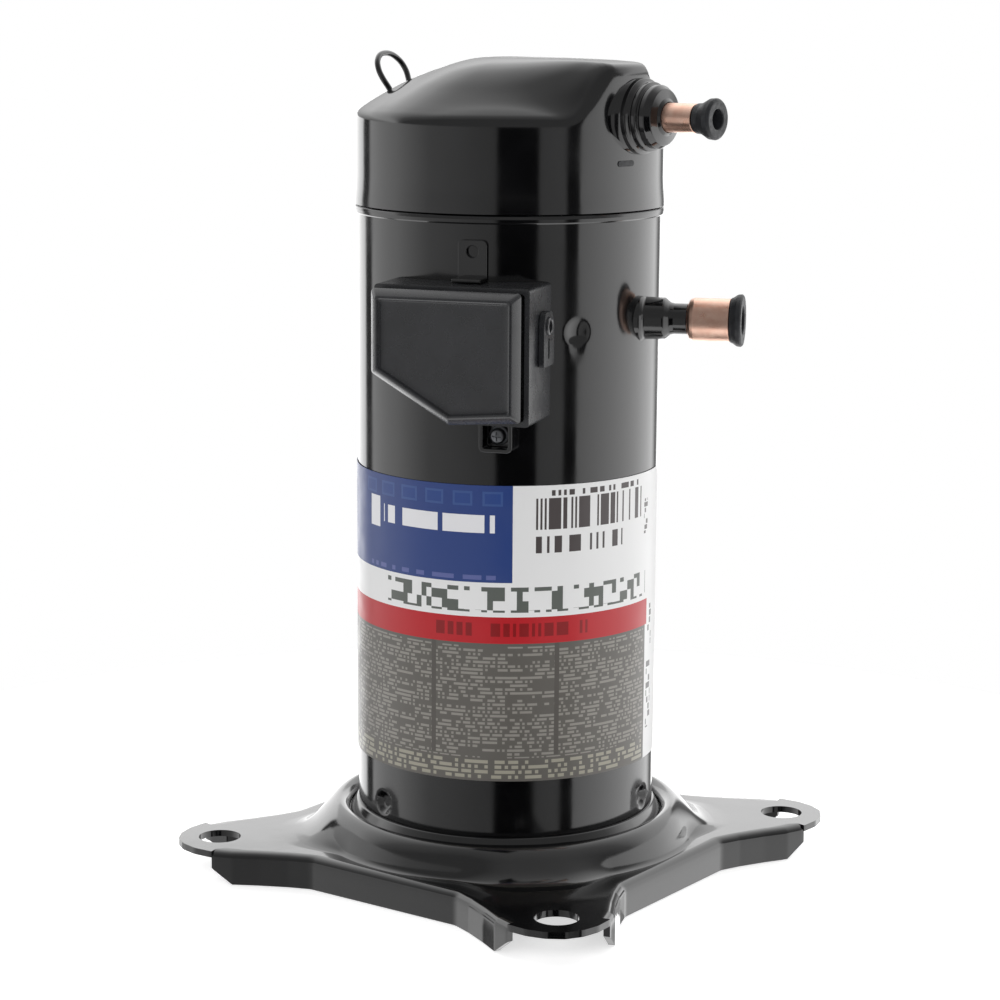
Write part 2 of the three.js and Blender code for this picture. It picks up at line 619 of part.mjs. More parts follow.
add('main_bearing_housing', makeMainBearingHousing(), iron);
add('main_bearing_bush', ring(12.3, 14.8, 198.5, 232.5, MEDIUM), bronze);
add('lower_bearing_bracket', makeLowerBracket(), iron);
add('lower_bearing_bush', ring(8.3, 10.3, 38.5, 59.5, MEDIUM), bronze);
add('thrust_washer', ring(4.4, 8, 36.3, 37.7, 20), bronze);
add('stator_core', makeStator(), iron);
add('upper_winding', makeWinding(STACK.z1 + GAP, 190, 'top'), copper);
add('lower_winding', makeWinding(72, STACK.z0 - GAP, 'bottom'), copper);
add('motor_protector', turned(block(42, 52, -9, 9, 190.5, 198), 100), plastic);
add('oil_magnet', ring(3, 9, 11.4, 15, 20).translate(-25, 0, 0), iron);
for (let i = 0; i < 4; i += 1) add(`scroll_bolt_${i + 1}`, makeScrollBolt(i), steel);

add('crankshaft', makeCrankshaft(), steel);
add('rotor_core', makeRotorCore(), iron);
add('rotor_end_ring_upper', makeEndRing(STACK.z1 + GAP, 172), aluminium);
add('rotor_end_ring_lower', makeEndRing(88, STACK.z0 - GAP), aluminium);
add('counterweight_upper', makeCounterweight(180, 172.3, 186), steel);
add('counterweight_lower', makeCounterweight(0, 78, 87.7), steel);
add('oil_pickup', makeOilPickup(), steel);

add('drive_bushing', makeDriveBushing(), steel);
add('orbiting_scroll', makeOrbitingScroll(), iron);
add('drive_bearing', makeDriveBearing(), bronze);
add('oldham_coupling', makeOldhamCoupling(), aluminium);
add('non_orbiting_scroll', makeNonOrbitingScroll(), iron);
add('floating_seal', makeFloatingSeal(), steel);
add('discharge_valve_cage', makeValveCage(), steel);
add('discharge_valve_disc', disc(12, SEAM_Z + 1.8, SEAM_Z + 2.8), steel);

export default compressor;
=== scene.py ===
# Looks for the hermetic scroll compressor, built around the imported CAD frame. Metres, +Z up.
# The shell's axis is the Z axis, the discharge stub points along +X and the floor is z = 0.
import json
import math

import bmesh
import bpy
from mathutils import Matrix, Vector


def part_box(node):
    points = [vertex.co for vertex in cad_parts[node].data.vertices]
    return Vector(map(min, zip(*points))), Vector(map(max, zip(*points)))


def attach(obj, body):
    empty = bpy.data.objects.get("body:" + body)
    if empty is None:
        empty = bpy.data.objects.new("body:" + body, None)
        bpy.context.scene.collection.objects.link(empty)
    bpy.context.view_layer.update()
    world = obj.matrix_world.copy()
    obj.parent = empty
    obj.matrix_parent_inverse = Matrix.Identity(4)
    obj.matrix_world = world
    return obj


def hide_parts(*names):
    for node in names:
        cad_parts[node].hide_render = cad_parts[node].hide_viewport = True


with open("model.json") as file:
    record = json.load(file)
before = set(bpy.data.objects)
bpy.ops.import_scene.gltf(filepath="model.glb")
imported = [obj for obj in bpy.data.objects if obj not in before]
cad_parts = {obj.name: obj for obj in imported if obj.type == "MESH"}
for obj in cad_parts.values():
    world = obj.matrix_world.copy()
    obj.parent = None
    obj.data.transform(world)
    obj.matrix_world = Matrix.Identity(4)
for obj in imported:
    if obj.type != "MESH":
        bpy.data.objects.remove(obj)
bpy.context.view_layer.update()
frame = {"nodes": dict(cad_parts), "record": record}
MM = 0.001

# ---------- sizes taken from the CAD frame ----------
SHELL_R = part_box("shell")[1].x
SHELL_Z0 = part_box("shell")[0].z
SHELL_Z1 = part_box("shell")[1].z
CAP_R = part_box("top_cap")[1].x
CAP_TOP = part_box("top_cap")[1].z
PLATE_TOP = 15 * MM
WALL = 3 * MM
HOLE_R = 9.75 * MM
FOOT_U = 190.5 * MM / math.sqrt(2)

DISCHARGE_Z = 349.5 * MM
SADDLE_ACROSS, SADDLE_UP = 21.5, 16.8
SUCTION_Z = 260 * MM
SUCTION_ANGLE = math.radians(24.3)
SUCTION_OFFSET = 18.8 * MM
BOX_ANGLE = math.radians(-71.5)
VIEW_ANGLE = math.radians(-54.5)     # the camera stands in this direction from the axis

STAKE_Z = 257 * MM
STAKE_DEPTH = 2.4 * MM
BOWL_DEPTH = 1.7 * MM
BOWL_ACROSS, BOWL_UP = 6.3 * MM, 6.8 * MM
CRATER_R = 5.9 * MM
STAKES = [math.radians(-28.6 + 120 * i) for i in range(3)]
LOWER_STAKE_Z = 37.4 * MM
LOWER_STAKES = [math.radians(11.4 + 120 * i) for i in range(3)]
SHADE_DASH_ANGLE = math.radians(-8.2)      # a small dark matte dash on the cap under the discharge stub: painted shade of a stamped mark
SHADE_DASH_Z = 329.4 * MM


# ---------- mesh helpers ----------
def new_object(name, verts, faces, smooth_angle=32):
    """A mesh object, smooth except across edges sharper than smooth_angle degrees."""
    mesh = bpy.data.meshes.new(name)
    mesh.from_pydata([tuple(v) for v in verts], [], faces)
    mesh.validate()
    obj = bpy.data.objects.new(name, mesh)
    bpy.context.scene.collection.objects.link(obj)
    bm = bmesh.new()
    bm.from_mesh(mesh)
    bmesh.ops.recalc_face_normals(bm, faces=bm.faces)
    bm.to_mesh(mesh)
    bm.free()
    mesh.shade_smooth()
    mesh.set_sharp_from_angle(angle=math.radians(smooth_angle))
    return obj


def apply_modifiers(obj):
    """Replaces the object's mesh by what its modifiers make of it."""
    bpy.context.view_layer.update()
    graph = bpy.context.evaluated_depsgraph_get()
    made = bpy.data.meshes.new_from_object(obj.evaluated_get(graph), depsgraph=graph)
    obj.modifiers.clear()
    obj.data = made
    return obj


def bevel(obj, width, segments=3, angle=40):
    """Rounds the edges sharper than angle degrees."""
    made = obj.modifiers.new("bevel", "BEVEL")
    made.width = width
    made.segments = segments
    made.limit_method = "ANGLE"
    made.angle_limit = math.radians(angle)
    made.harden_normals = True
    made.use_clamp_overlap = True
    return apply_modifiers(obj)


def subtract(obj, *tools):
    """Cuts the tool objects out of obj, and removes them."""
    for tool in tools:
        made = obj.modifiers.new("cut", "BOOLEAN")
        made.operation = "DIFFERENCE"
        made.solver = "EXACT"
        made.object = tool
    apply_modifiers(obj)
    obj.data.set_sharp_from_angle(angle=math.radians(35))
    for tool in tools:
        bpy.data.objects.remove(tool)
    return obj


def scaled(points):
    """The same points in metres instead of millimetres."""
    return [tuple(v * MM for v in p) for p in points]


def unit(vector):
    return vector.normalized() if vector.length > 1e-12 else Vector((0, 0))


def rounded(points, radius, steps=5):
    """Rounds a closed outline's corners. A point may carry its own radius as a third number."""
    out = []
    count = len(points)
    for i, point in enumerate(points):
        here = Vector(point[:2])
        before = Vector(points[i - 1][:2]) - here
        after = Vector(points[(i + 1) % count][:2]) - here
        wanted = point[2] if len(point) > 2 else radius
        half = 0.5 * unit(before).angle(unit(after), math.pi)
        room = 0.45 * min(before.length, after.length)
        if wanted <= 0 or half > math.radians(88.5) or room < 1e-7:
            out.append(here)
            continue
        reach = min(wanted / math.tan(half), room)
        r = reach * math.tan(half)
        start = here + unit(before) * reach
        end = here + unit(after) * reach
        centre = here + (unit(before) + unit(after)).normalized() * (r / math.sin(half))
        out.append(here + unit(before) * min(reach * 1.25, before.length * 0.49))
        a, b = start - centre, end - centre
        turn = math.atan2(a.x * b.y - a.y * b.x, a.dot(b))
        for k in range(steps + 1):
            out.append(centre + Matrix.Rotation(turn * k / steps, 2) @ a)
        out.append(here + unit(after) * min(reach * 1.25, after.length * 0.49))
    return out


def circle(count):
    """Evenly spaced points round a circle of radius 1."""
    turns = [2 * math.pi * j / count for j in range(count)]
    return [(math.cos(t), math.sin(t)) for t in turns]


def strip(a, b, count):
    """Quads between two closed rings of count vertices, which start at vertices a and b."""
    return [[a + j, a + (j + 1) % count, b + (j + 1) % count, b + j] for j in range(count)]


def revolve(name, profile, segments=128, place=None, fillet=0.4 * MM):
    """Turns a closed [radius, height] outline about Z, its corners rounded, then places it."""
    outline = rounded(profile, fillet)
    outline = [p for i, p in enumerate(outline) if (p - outline[i - 1]).length > 1e-7]
    place = place or Matrix.Identity(4)
    verts, faces, rows = [], [], []
    for p in outline:
        if p.x < 1e-6:
            rows.append([len(verts)] * segments)
            verts.append(place @ Vector((0, 0, p.y)))
            continue
        rows.append(list(range(len(verts), len(verts) + segments)))
        verts += [place @ Vector((p.x * x, p.x * y, p.y)) for x, y in circle(segments)]
    for a, b in zip(rows, rows[1:] + rows[:1]):
        for j in range(segments):
            k = (j + 1) % segments
            corners = list(dict.fromkeys([a[j], a[k], b[k], b[j]]))
            if len(corners) > 2:
                faces.append(corners)
    return new_object(name, verts, faces)


def prism(name, outline, z0, z1, place=None):
    """Raises a closed outline from z0 to z1, then places it."""
    place = place or Matrix.Identity(4)
    count = len(outline)
    verts = [place @ Vector((p[0], p[1], z)) for z in (z0, z1) for p in outline]
    faces = [list(range(count)), list(range(count, 2 * count))]
    return new_object(name, verts, faces + strip(0, count, count))


def cylinder(name, radius, z0, z1, place=None, segments=96):
    return prism(name, [(radius * x, radius * y) for x, y in circle(segments)], z0, z1, place)


def smoothstep(x, low, high):
    t = min(max((x - low) / (high - low), 0), 1)
    return t * t * (3 - 2 * t)


def spline(points, samples):
    """Points along a smooth curve through the given points, evenly shared between them."""
    out = []
    last = len(points) - 1
    for s in range(samples + 1):
        place = s / samples * last
        i = min(int(place), last - 1)
        t = place - i
        p0, p1, p2, p3 = (Vector(points[min(max(i + k, 0), last)]) for k in (-1, 0, 1, 2))
        out.append(0.5 * (2 * p1 + (p2 - p0) * t + (2 * p0 - 5 * p1 + 4 * p2 - p3) * t * t
                          + (3 * p1 - p0 - 3 * p2 + p3) * t ** 3))
    return out


def tube(name, path, radius, segments=20, flare=None):
    """A round bar with closed ends along a path. flare(t) scales the radius from 0 to 1 of the path."""
    verts, faces = [], []
    side = Vector((0, 0, 1))
    for i, p in enumerate(path):
        ahead = (Vector(path[min(i + 1, len(path) - 1)]) - Vector(path[max(i - 1, 0)])).normalized()
        side = (side - ahead * side.dot(ahead))
        side = side.normalized() if side.length > 1e-6 else ahead.orthogonal().normalized()
        other = ahead.cross(side)
        r = radius * (flare(i / (len(path) - 1)) if flare else 1)
        verts += [Vector(p) + (side * x + other * y) * r for x, y in circle(segments)]
    for i in range(len(path) - 1):
        faces += strip(i * segments, (i + 1) * segments, segments)
    faces.append(list(range(segments)))
    faces.append(list(range((len(path) - 1) * segments, len(path) * segments)))
    return new_object(name, verts, faces)


# ---------- places ----------
def along_x(z):
    """Takes a part made about Z onto a horizontal axis along +X at height z."""
    return Matrix.Translation((0, 0, z)) @ Matrix.Rotation(math.pi / 2, 4, "Y")


DISCHARGE_PLACE = along_x(DISCHARGE_Z)
SUCTION_PLACE = (Matrix.Rotation(SUCTION_ANGLE, 4, "Z") @ Matrix.Translation((0, -SUCTION_OFFSET, 0))
                 @ along_x(SUCTION_Z))
# The box's own frame: x across, y up, z out from the shell's axis.
BOX_PLACE = Matrix.Rotation(BOX_ANGLE + math.pi / 2, 4, "Z") @ Matrix.Rotation(math.pi / 2, 4, "X")


# ---------- materials ----------
def material(name, color, rough, metal=0.0, **sockets):
    """A Principled material, with the sockets that are the same all over set on the shader."""
    mat = bpy.data.materials.new(name)
    mat.use_nodes = True
    shader = mat.node_tree.nodes["Principled BSDF"]
    shader.inputs["Base Color"].default_value = (*color, 1)
    shader.inputs["Roughness"].default_value = rough
    shader.inputs["Metallic"].default_value = metal
    for socket, value in sockets.items():
        shader.inputs[socket.replace("_", " ")].default_value = value
    return mat


def node(mat, kind, **settings):
    made = mat.node_tree.nodes.new(kind)
    for key, value in settings.items():
        setattr(made, key, value)
    return made


def link(mat, output, target):
    mat.node_tree.links.new(output, target)


def shader_of(mat):
    return mat.node_tree.nodes["Principled BSDF"]


def noise(mat, scale, detail=3.0, roughness=0.5, stretch=(1, 1, 1)):
    """Noise over the object's own space, scale in features per metre."""
    coords = node(mat, "ShaderNodeTexCoord")
    mapping = node(mat, "ShaderNodeMapping")
    mapping.inputs["Scale"].default_value = stretch
    made = node(mat, "ShaderNodeTexNoise")
    made.inputs["Scale"].default_value = scale
    made.inputs["Detail"].default_value = detail
    made.inputs["Roughness"].default_value = roughness
    link(mat, coords.outputs["Object"], mapping.inputs["Vector"])
    link(mat, mapping.outputs["Vector"], made.inputs["Vector"])
    return made.outputs["Fac"]


def ranged(mat, value, low, high, from_low=0.0, from_high=1.0):
    made = node(mat, "ShaderNodeMapRange")
    made.inputs["From Min"].default_value = from_low
    made.inputs["From Max"].default_value = from_high
    made.inputs["To Min"].default_value = low
    made.inputs["To Max"].default_value = high
    link(mat, value, made.inputs["Value"])
    return made.outputs["Result"]


def vary_color(mat, value, low, high, from_low=0.3, from_high=0.7):
    ramp = node(mat, "ShaderNodeValToRGB")
    ramp.color_ramp.elements[0].position = from_low
    ramp.color_ramp.elements[0].color = (*low, 1)
    ramp.color_ramp.elements[1].position = from_high
    ramp.color_ramp.elements[1].color = (*high, 1)
    link(mat, value, ramp.inputs["Fac"])
    link(mat, ramp.outputs["Color"], shader_of(mat).inputs["Base Color"])


def vary_roughness(mat, value, low, high):
    link(mat, ranged(mat, value, low, high, 0.3, 0.7), shader_of(mat).inputs["Roughness"])


def bump(mat, value, height, strength=1.0):
    made = node(mat, "ShaderNodeBump")
    made.inputs["Strength"].default_value = strength
    made.inputs["Distance"].default_value = height
    link(mat, value, made.inputs["Height"])
    link(mat, made.outputs["Normal"], shader_of(mat).inputs["Normal"])


def black_paint():
    mat = material("black_paint", (0.002, 0.002, 0.0022), 0.1, Specular_IOR_Level=1.0)
    vary_color(mat, noise(mat, 60, 4), (0.0012, 0.0012, 0.0014), (0.0028, 0.0028, 0.0032))
    vary_roughness(mat, noise(mat, 35, 5), 0.07, 0.15)
    bump(mat, noise(mat, 160, 2), 0.00005, 0.35)
    return mat


def box_plastic():
    mat = material("box_plastic", (0.014, 0.0145, 0.016), 0.28, Specular_IOR_Level=0.9)
    vary_color(mat, noise(mat, 90, 4), (0.012, 0.0125, 0.014), (0.018, 0.0185, 0.021))
    vary_roughness(mat, noise(mat, 120, 4), 0.22, 0.32)
    bump(mat, noise(mat, 2600, 2), 0.00004, 0.5)
    return mat


def rubber(name="plug_rubber", color=(0.011, 0.0118, 0.0135)):
    mat = material(name, color, 0.5)
    light = tuple(c * 1.8 for c in color)
    vary_color(mat, noise(mat, 300, 4), color, light)
    vary_roughness(mat, noise(mat, 500, 3), 0.38, 0.6)
    bump(mat, noise(mat, 1800, 3), 0.00006, 0.5)
    return mat


def metal(name, low, high, rough_low, rough_high, grain=400, stretch=(1, 1, 1), height=0.00003):
    mat = material(name, low, rough_low, 1.0)
    vary_color(mat, noise(mat, grain, 5, 0.6, stretch), low, high)
    vary_roughness(mat, noise(mat, grain * 0.5, 4, 0.5, stretch), rough_low, rough_high)
    bump(mat, noise(mat, grain * 3, 3, 0.6, stretch), height, 0.6)
    return mat


def glass_bead():
    mat = material("glass_bead", (0.03, 0.09, 0.06), 0.08)
    vary_color(mat, noise(mat, 900, 3), (0.02, 0.07, 0.045), (0.05, 0.13, 0.09))
    return mat


def calc(mat, operation, *values):
    """One step of arithmetic on numbers and sockets."""
    made = node(mat, "ShaderNodeMath", operation=operation)
    for socket, value in zip(made.inputs, values):
        if isinstance(value, (int, float)):
            socket.default_value = value
        else:
            link(mat, value, socket)
    return made.outputs[0]


def within(mat, value, low, high):
    """1 where the value lies between two limits."""
    return calc(mat, "MULTIPLY", calc(mat, "GREATER_THAN", value, low), calc(mat, "LESS_THAN", value, high))


def patch(mat, s, z, box):
    """1 inside the box [left, right, low, high], in millimetres of label."""
    return calc(mat, "MULTIPLY", within(mat, s, box[0], box[1]), within(mat, z, box[2], box[3]))


def cells(mat, s, z, width, height, seed=0):
    """One random number for each cell of a grid."""
    column = calc(mat, "FLOOR", calc(mat, "DIVIDE", s, width))
    row = calc(mat, "FLOOR", calc(mat, "DIVIDE", z, height))
    place = node(mat, "ShaderNodeCombineXYZ")
    link(mat, column, place.inputs["X"])
    link(mat, row, place.inputs["Y"])
    place.inputs["Z"].default_value = seed
    made = node(mat, "ShaderNodeTexWhiteNoise", noise_dimensions="3D")
    link(mat, place.outputs["Vector"], made.inputs["Vector"])
    return made.outputs["Value"]


def layer(mat, under, mask, color):
    """Prints a colour over another where the mask is 1."""
    mix = node(mat, "ShaderNodeMix", data_type="RGBA")
    link(mat, mask, mix.inputs["Factor"])
    if isinstance(under, tuple):
        mix.inputs[6].default_value = (*under, 1)
    else:
        link(mat, under, mix.inputs[6])
    mix.inputs[7].default_value = (*color, 1)
    return mix.outputs[2]


PALE, WHITE, INK = (0.72, 0.72, 0.72), (0.72, 0.72, 0.74), (0.06, 0.05, 0.05)
BLUE, RED = (0.024, 0.05, 0.185), (0.42, 0.012, 0.018)
GREY, RULE = (0.105, 0.098, 0.088), (0.085, 0.078, 0.07)
# What the label shows: [left, right, low, high] in millimetres of label, the colour, and for a field of
# dashes their width, row height, share left out, seed and the part of each row that is filled.
PRINT = [
    ((-5, 122.8, 146.8, 200), BLUE, None),
    ((46, 54, 166, 180), WHITE, None),
    ((57, 115, 169, 177), WHITE, (2.4, 40, 0.18, 3, 0.8)),
    ((46, 116, 152.5, 157), (0.35, 0.36, 0.52), (1.3, 40, 0.3, 4, 0.8)),
    ((46, 116, 148, 150), (0.10, 0.12, 0.30), (2.1, 40, 0.4, 5, 0.8)),
    ((133, 193, 170.5, 184.5), INK, (0.95, 40, 0.36, 6, 0.8)),
    ((133, 178, 156.5, 167.5), INK, (1.15, 40, 0.4, 7, 0.8)),
    ((140, 190, 185.5, 188), INK, (1.3, 40, 0.45, 8, 0.8)),
    ((196, 200, 162, 178), (0.12, 0.11, 0.11), (1.5, 2.6, 0.5, 9, 0.8)),
    ((60, 198, 133.4, 144.8), (0.10, 0.11, 0.10), (2.6, 4.2, 0.45, 10, 1.0)),
    ((60, 198, 134.5, 143), PALE, (5.2, 40, 0.55, 11, 1.0)),
    ((-5, 200.5, 119.3, 131.3), RED, None),
    ((88, 158, 122.5, 128.5), (0.22, 0.008, 0.01), (1.4, 40, 0.4, 12, 0.8)),
    ((-5, 198.7, 56, 119.3), GREY, None),
    ((-5, 197, 67, 118), (0.24, 0.228, 0.205), (1.1, 1.75, 0.38, 13, 0.62)),
    ((-5, 197, 67, 118), GREY, (11, 1.75, 0.84, 14, 1.0)),
    ((-5, 197, 57, 66), (0.30, 0.285, 0.23), (1.5, 2.3, 0.45, 15, 0.66)),
    *(((left, left + 2.2, 68, 119.3), RULE, None) for left in (27, 86, 142)),
    ((201, 207, 70, 128), (0.12, 0.12, 0.12), (2.0, 3.4, 0.6, 16, 0.8)),
]
PICTOGRAMS, PICTOGRAM_LEFT, PICTOGRAM_PITCH = 6, 42, 13.5
# A pictogram is two rectangles, each [inset, strength, colour].
PICTOGRAM = [(0, 0.45, (0.06, 0.12, 0.30)), (1, 0.8, (0.02, 0.05, 0.20))]


def dashes(mat, s, z, width, height, above, seed, fill):
    """Short dashes in rows, like print too small to read."""
    rows = calc(mat, "LESS_THAN", calc(mat, "FRACT", calc(mat, "DIVIDE", z, height)), fill)
    chosen = calc(mat, "GREATER_THAN", cells(mat, s, z, width, height, seed), above)
    return calc(mat, "MULTIPLY", rows, chosen)


def label_print():
    """A generic rating label: blue field, white panel, pictogram strip, red band and a small-print panel."""
    mat = material("label", (0.7, 0.7, 0.71), 0.3)
    vary_roughness(mat, noise(mat, 80, 3), 0.28, 0.4)
    uv = node(mat, "ShaderNodeUVMap", uv_map="print")
    split = node(mat, "ShaderNodeSeparateXYZ")
    link(mat, uv.outputs["UV"], split.inputs["Vector"])
    s = calc(mat, "MULTIPLY", split.outputs["X"], 1 / MM)
    z = calc(mat, "MULTIPLY", split.outputs["Y"], 1 / MM)
    color = PALE
    for box, ink, pattern in PRINT:
        mask = patch(mat, s, z, box)
        if pattern:
            mask = calc(mat, "MULTIPLY", mask, dashes(mat, s, z, *pattern))
        color = layer(mat, color, mask, ink)
    for k in range(PICTOGRAMS):
        left = PICTOGRAM_LEFT + PICTOGRAM_PITCH * k
        for inset, strength, ink in PICTOGRAM:
            box = (left + inset, left + 9 - inset, 181 + inset, 187.5 - inset)
            color = layer(mat, color, calc(mat, "MULTIPLY", patch(mat, s, z, box), strength), ink)
    link(mat, color, shader_of(mat).inputs["Base Color"])
    return mat


MATERIALS = {
    "black_paint": black_paint(),
    "label": label_print(),
    "copper": metal("copper", (0.84, 0.50, 0.38), (0.96, 0.66, 0.53), 0.26, 0.42, 250),
    "plug_rubber": rubber(),
    "box_plastic": box_plastic(),
    "steel": metal("steel", (0.20, 0.205, 0.215), (0.30, 0.31, 0.33), 0.3, 0.45, 500),
    "pin_steel": metal("pin_steel", (0.5, 0.48, 0.43), (0.62, 0.6, 0.54), 0.2, 0.32, 700),
    "glass_bead": glass_bead(),
    "lead_insulation": rubber("lead_insulation", (0.25, 0.02, 0.015)),
    "cast_iron": metal("cast_iron", (0.09, 0.09, 0.095), (0.17, 0.17, 0.18), 0.45, 0.65, 700, height=0.0001),
    "lamination_steel": metal("lamination_steel", (0.2, 0.21, 0.23), (0.32, 0.33, 0.36), 0.3, 0.5, 900,
                              (0.1, 0.1, 6)),
    "winding_copper": metal("winding_copper", (0.35, 0.12, 0.045), (0.55, 0.24, 0.1), 0.3, 0.5, 1200),
    "cast_aluminium": metal("cast_aluminium", (0.5, 0.51, 0.53), (0.65, 0.66, 0.68), 0.35, 0.5, 600),
    "bearing_bronze": metal("bearing_bronze", (0.38, 0.25, 0.1), (0.52, 0.37, 0.17), 0.3, 0.45, 900),
}


def finish_piece(obj, body, slot, *nodes):
    """Gives a piece its material and body, and hides the CAD nodes that it stands for."""
    obj.data.materials.clear()
    obj.data.materials.append(MATERIALS[slot])
    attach(obj, body)
    if nodes:
        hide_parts(*nodes)
    return obj


# ---------- shell ----------
def shell_rows():
    """Heights of the shell's rows, closer together where the stakes are pressed in."""
    rows = []
    z = SHELL_Z0
    while z < SHELL_Z1 - 1e-6:
        rows.append(z)
        near = min(abs(z - STAKE_Z), abs(z - LOWER_STAKE_Z)) < 9 * MM
        z += (0.8 if near else 5) * MM
    return rows + [SHELL_Z1]


def stake_depth(angle, z):
    """How far a stake presses the surface in: oval bowls above, steeper craters near the base."""
    depth = 0
    for stake in STAKES:
        across = math.remainder(angle - stake, 2 * math.pi) * SHELL_R
        reach = math.hypot(across / BOWL_ACROSS, (z - STAKE_Z) / BOWL_UP)
        depth += BOWL_DEPTH * max(1 - reach ** 2, 0) ** 1.4
    for stake in LOWER_STAKES:
        across = math.remainder(angle - stake, 2 * math.pi) * SHELL_R
        reach = math.hypot(across, z - LOWER_STAKE_Z) / CRATER_R
        depth += STAKE_DEPTH * (1 - smoothstep(reach, 0.5, 1))
    return depth


def make_shell():
    columns = 360
    rows = shell_rows()
    verts, faces = [], []
    for z in rows:
        for j in range(columns):
            angle = 2 * math.pi * j / columns
            r = SHELL_R - stake_depth(angle, z)
            verts.append((r * math.cos(angle), r * math.sin(angle), z))
    inner = SHELL_R - WALL
    verts += [(inner * x, inner * y, z) for z in (rows[-1], rows[0]) for x, y in circle(columns)]
    loops = len(rows) + 2
    for i in range(loops):
        faces += strip(i * columns, (i + 1) % loops * columns, columns)
    return finish_piece(new_object("shell_body", verts, faces), "housing", "black_paint", "shell")


# ---------- top cap ----------
CAP_DOME = [(0, 374), (14, 373.2), (27, 370.2), (38, 366.4), (48, 362.2), (56, 358), (62, 354.5),
            (66, 351.9), (68.6, 349.7), (69.7, 347.2), (69.9, 343)]
CAP_BOSS = [(0, 374), (14, 373.9), (28, 373.8), (42, 373.6), (52, 373.4), (59, 373.1), (65.2, 372.6),
            (68.2, 371.4), (69.5, 369.3), (69.9, 366), (69.9, 354)]
CAP_SKIRT = [(69.9, 334), (69.9, 332), (69.9, 331.2), (69.9, 327.6), (69.9, 326.8), (69.9, 325), (69.9, 321),
             (70.1, 316), (70.5, 311.5), (70.6, 308.5)]
CAP_INSIDE = [(67.2, 308.2), (67.2, 335)]
CAP_INNER_TOP = 362
SEAM_Z = 306.3                       # the weld bead between shell and cap
BOSS_CENTRE = -6                     # y of the boss's ridge, a little off the discharge axis
BOSS_HALF_WIDTH = 11                 # the boss is flat this far to each side of its ridge
BOSS_FOOT = 34                       # and has run out into the dome here at the rim
BOSS_SPREAD = 0.55                   # further in, its flanks widen by this much per unit of length


def boss_share(x, y):
    """How much of the cap's section is boss at a point, in millimetres: 1 on its ridge, 0 on the dome."""
    foot = BOSS_FOOT + BOSS_SPREAD * max(58 - x, 0)
    aside = (abs(y - BOSS_CENTRE) - BOSS_HALF_WIDTH) / (foot - BOSS_HALF_WIDTH)
    aside = min(max(aside, 0), 1) ** 0.75
    return (1 - smoothstep(aside, 0, 1)) * smoothstep(x, -26, 12)


def make_top_cap():
    """A dome whose section changes towards the discharge stub, with a straight skirt below it."""
    columns, samples = 240, 60
    dome = spline(CAP_DOME, samples)
    boss = spline(CAP_BOSS, samples)
    straight = [Vector(p) for p in CAP_SKIRT + CAP_INSIDE]
    turns = [Vector(spot) for spot in circle(columns)]
    rings = [[d.lerp(b, boss_share(*(turn * d.x))) for turn in turns] for d, b in zip(dome[1:], boss[1:])]
    rings += [[p] * columns for p in straight]
    verts = [(0, 0, CAP_TOP)]
    for ring in rings:
        verts += [(turn.x * p.x * MM, turn.y * p.x * MM, p.y * MM) for turn, p in zip(turns, ring)]
    verts.append((0, 0, CAP_INNER_TOP * MM))
    last = 1 + (len(rings) - 1) * columns
    faces = []
    for j in range(columns):
        k = (j + 1) % columns
        faces += [[0, 1 + j, 1 + k], [len(verts) - 1, last + k, last + j]]
    for i in range(len(rings) - 1):
        faces += strip(1 + i * columns, 1 + (i + 1) * columns, columns)
    obj = new_object("cap_body", verts, faces)
    return finish_piece(obj, "housing", "black_paint", "top_cap")


def make_cap_shade_dash():
    """A small dark matte dash on the cap's wall, under the discharge stub: painted shade, a raised dark bar
    standing in for the shadow in a stamped mark.
    """
    half, rise = 5.1, 1.3
    outline = rounded(scaled([(-half, -rise), (half, -rise), (half, rise), (-half, rise)]), 1.2 * MM)
    place = (Matrix.Rotation(SHADE_DASH_ANGLE + math.pi / 2, 4, "Z") @ Matrix.Translation((0, 0, SHADE_DASH_Z))
             @ Matrix.Rotation(math.pi / 2, 4, "X"))
    obj = bevel(prism("cap_shade_dash", outline, 69 * MM, 70.1 * MM, place), 0.1 * MM, 2, 50)
    # the matte dark rubber finish keeps the dash dark whatever the lighting: painted shade
    return finish_piece(obj, "housing", "plug_rubber")


def make_seam():
    """The muffler plate's rim, with the weld bead that joins shell, plate and cap."""
    z = SEAM_Z
    profile = [(9, z - 1.5), (69, z - 1.5), (69.6, z - 2.3), (70.35, z - 1.4), (70.5, z), (70.35, z + 1.2),
               (69.8, z + 1.8), (69, z + 1.5), (9, z + 1.5)]
    obj = revolve("muffler_plate_rim", scaled(profile), 240, fillet=0.5 * MM)
    return finish_piece(obj, "housing", "black_paint", "muffler_plate")


def make_lower_cap():
    profile = [(0, 8, 0), (42, 8, 8), (62, 18, 10), (65, 22.4, 1), (72.9, 22.4, 0.6), (72.9, 25, 1.5),
               (69.8, 29.9, 1.2), (66.2, 30.2, 0.2), (65.7, 36, 0.4), (62.7, 36, 0.4), (62.7, 24, 3),
               (57, 17, 6), (41, 11, 6), (0, 11, 0)]
    obj = revolve("lower_cap_body", scaled(profile), 240)
    return finish_piece(obj, "housing", "black_paint", "lower_cap")


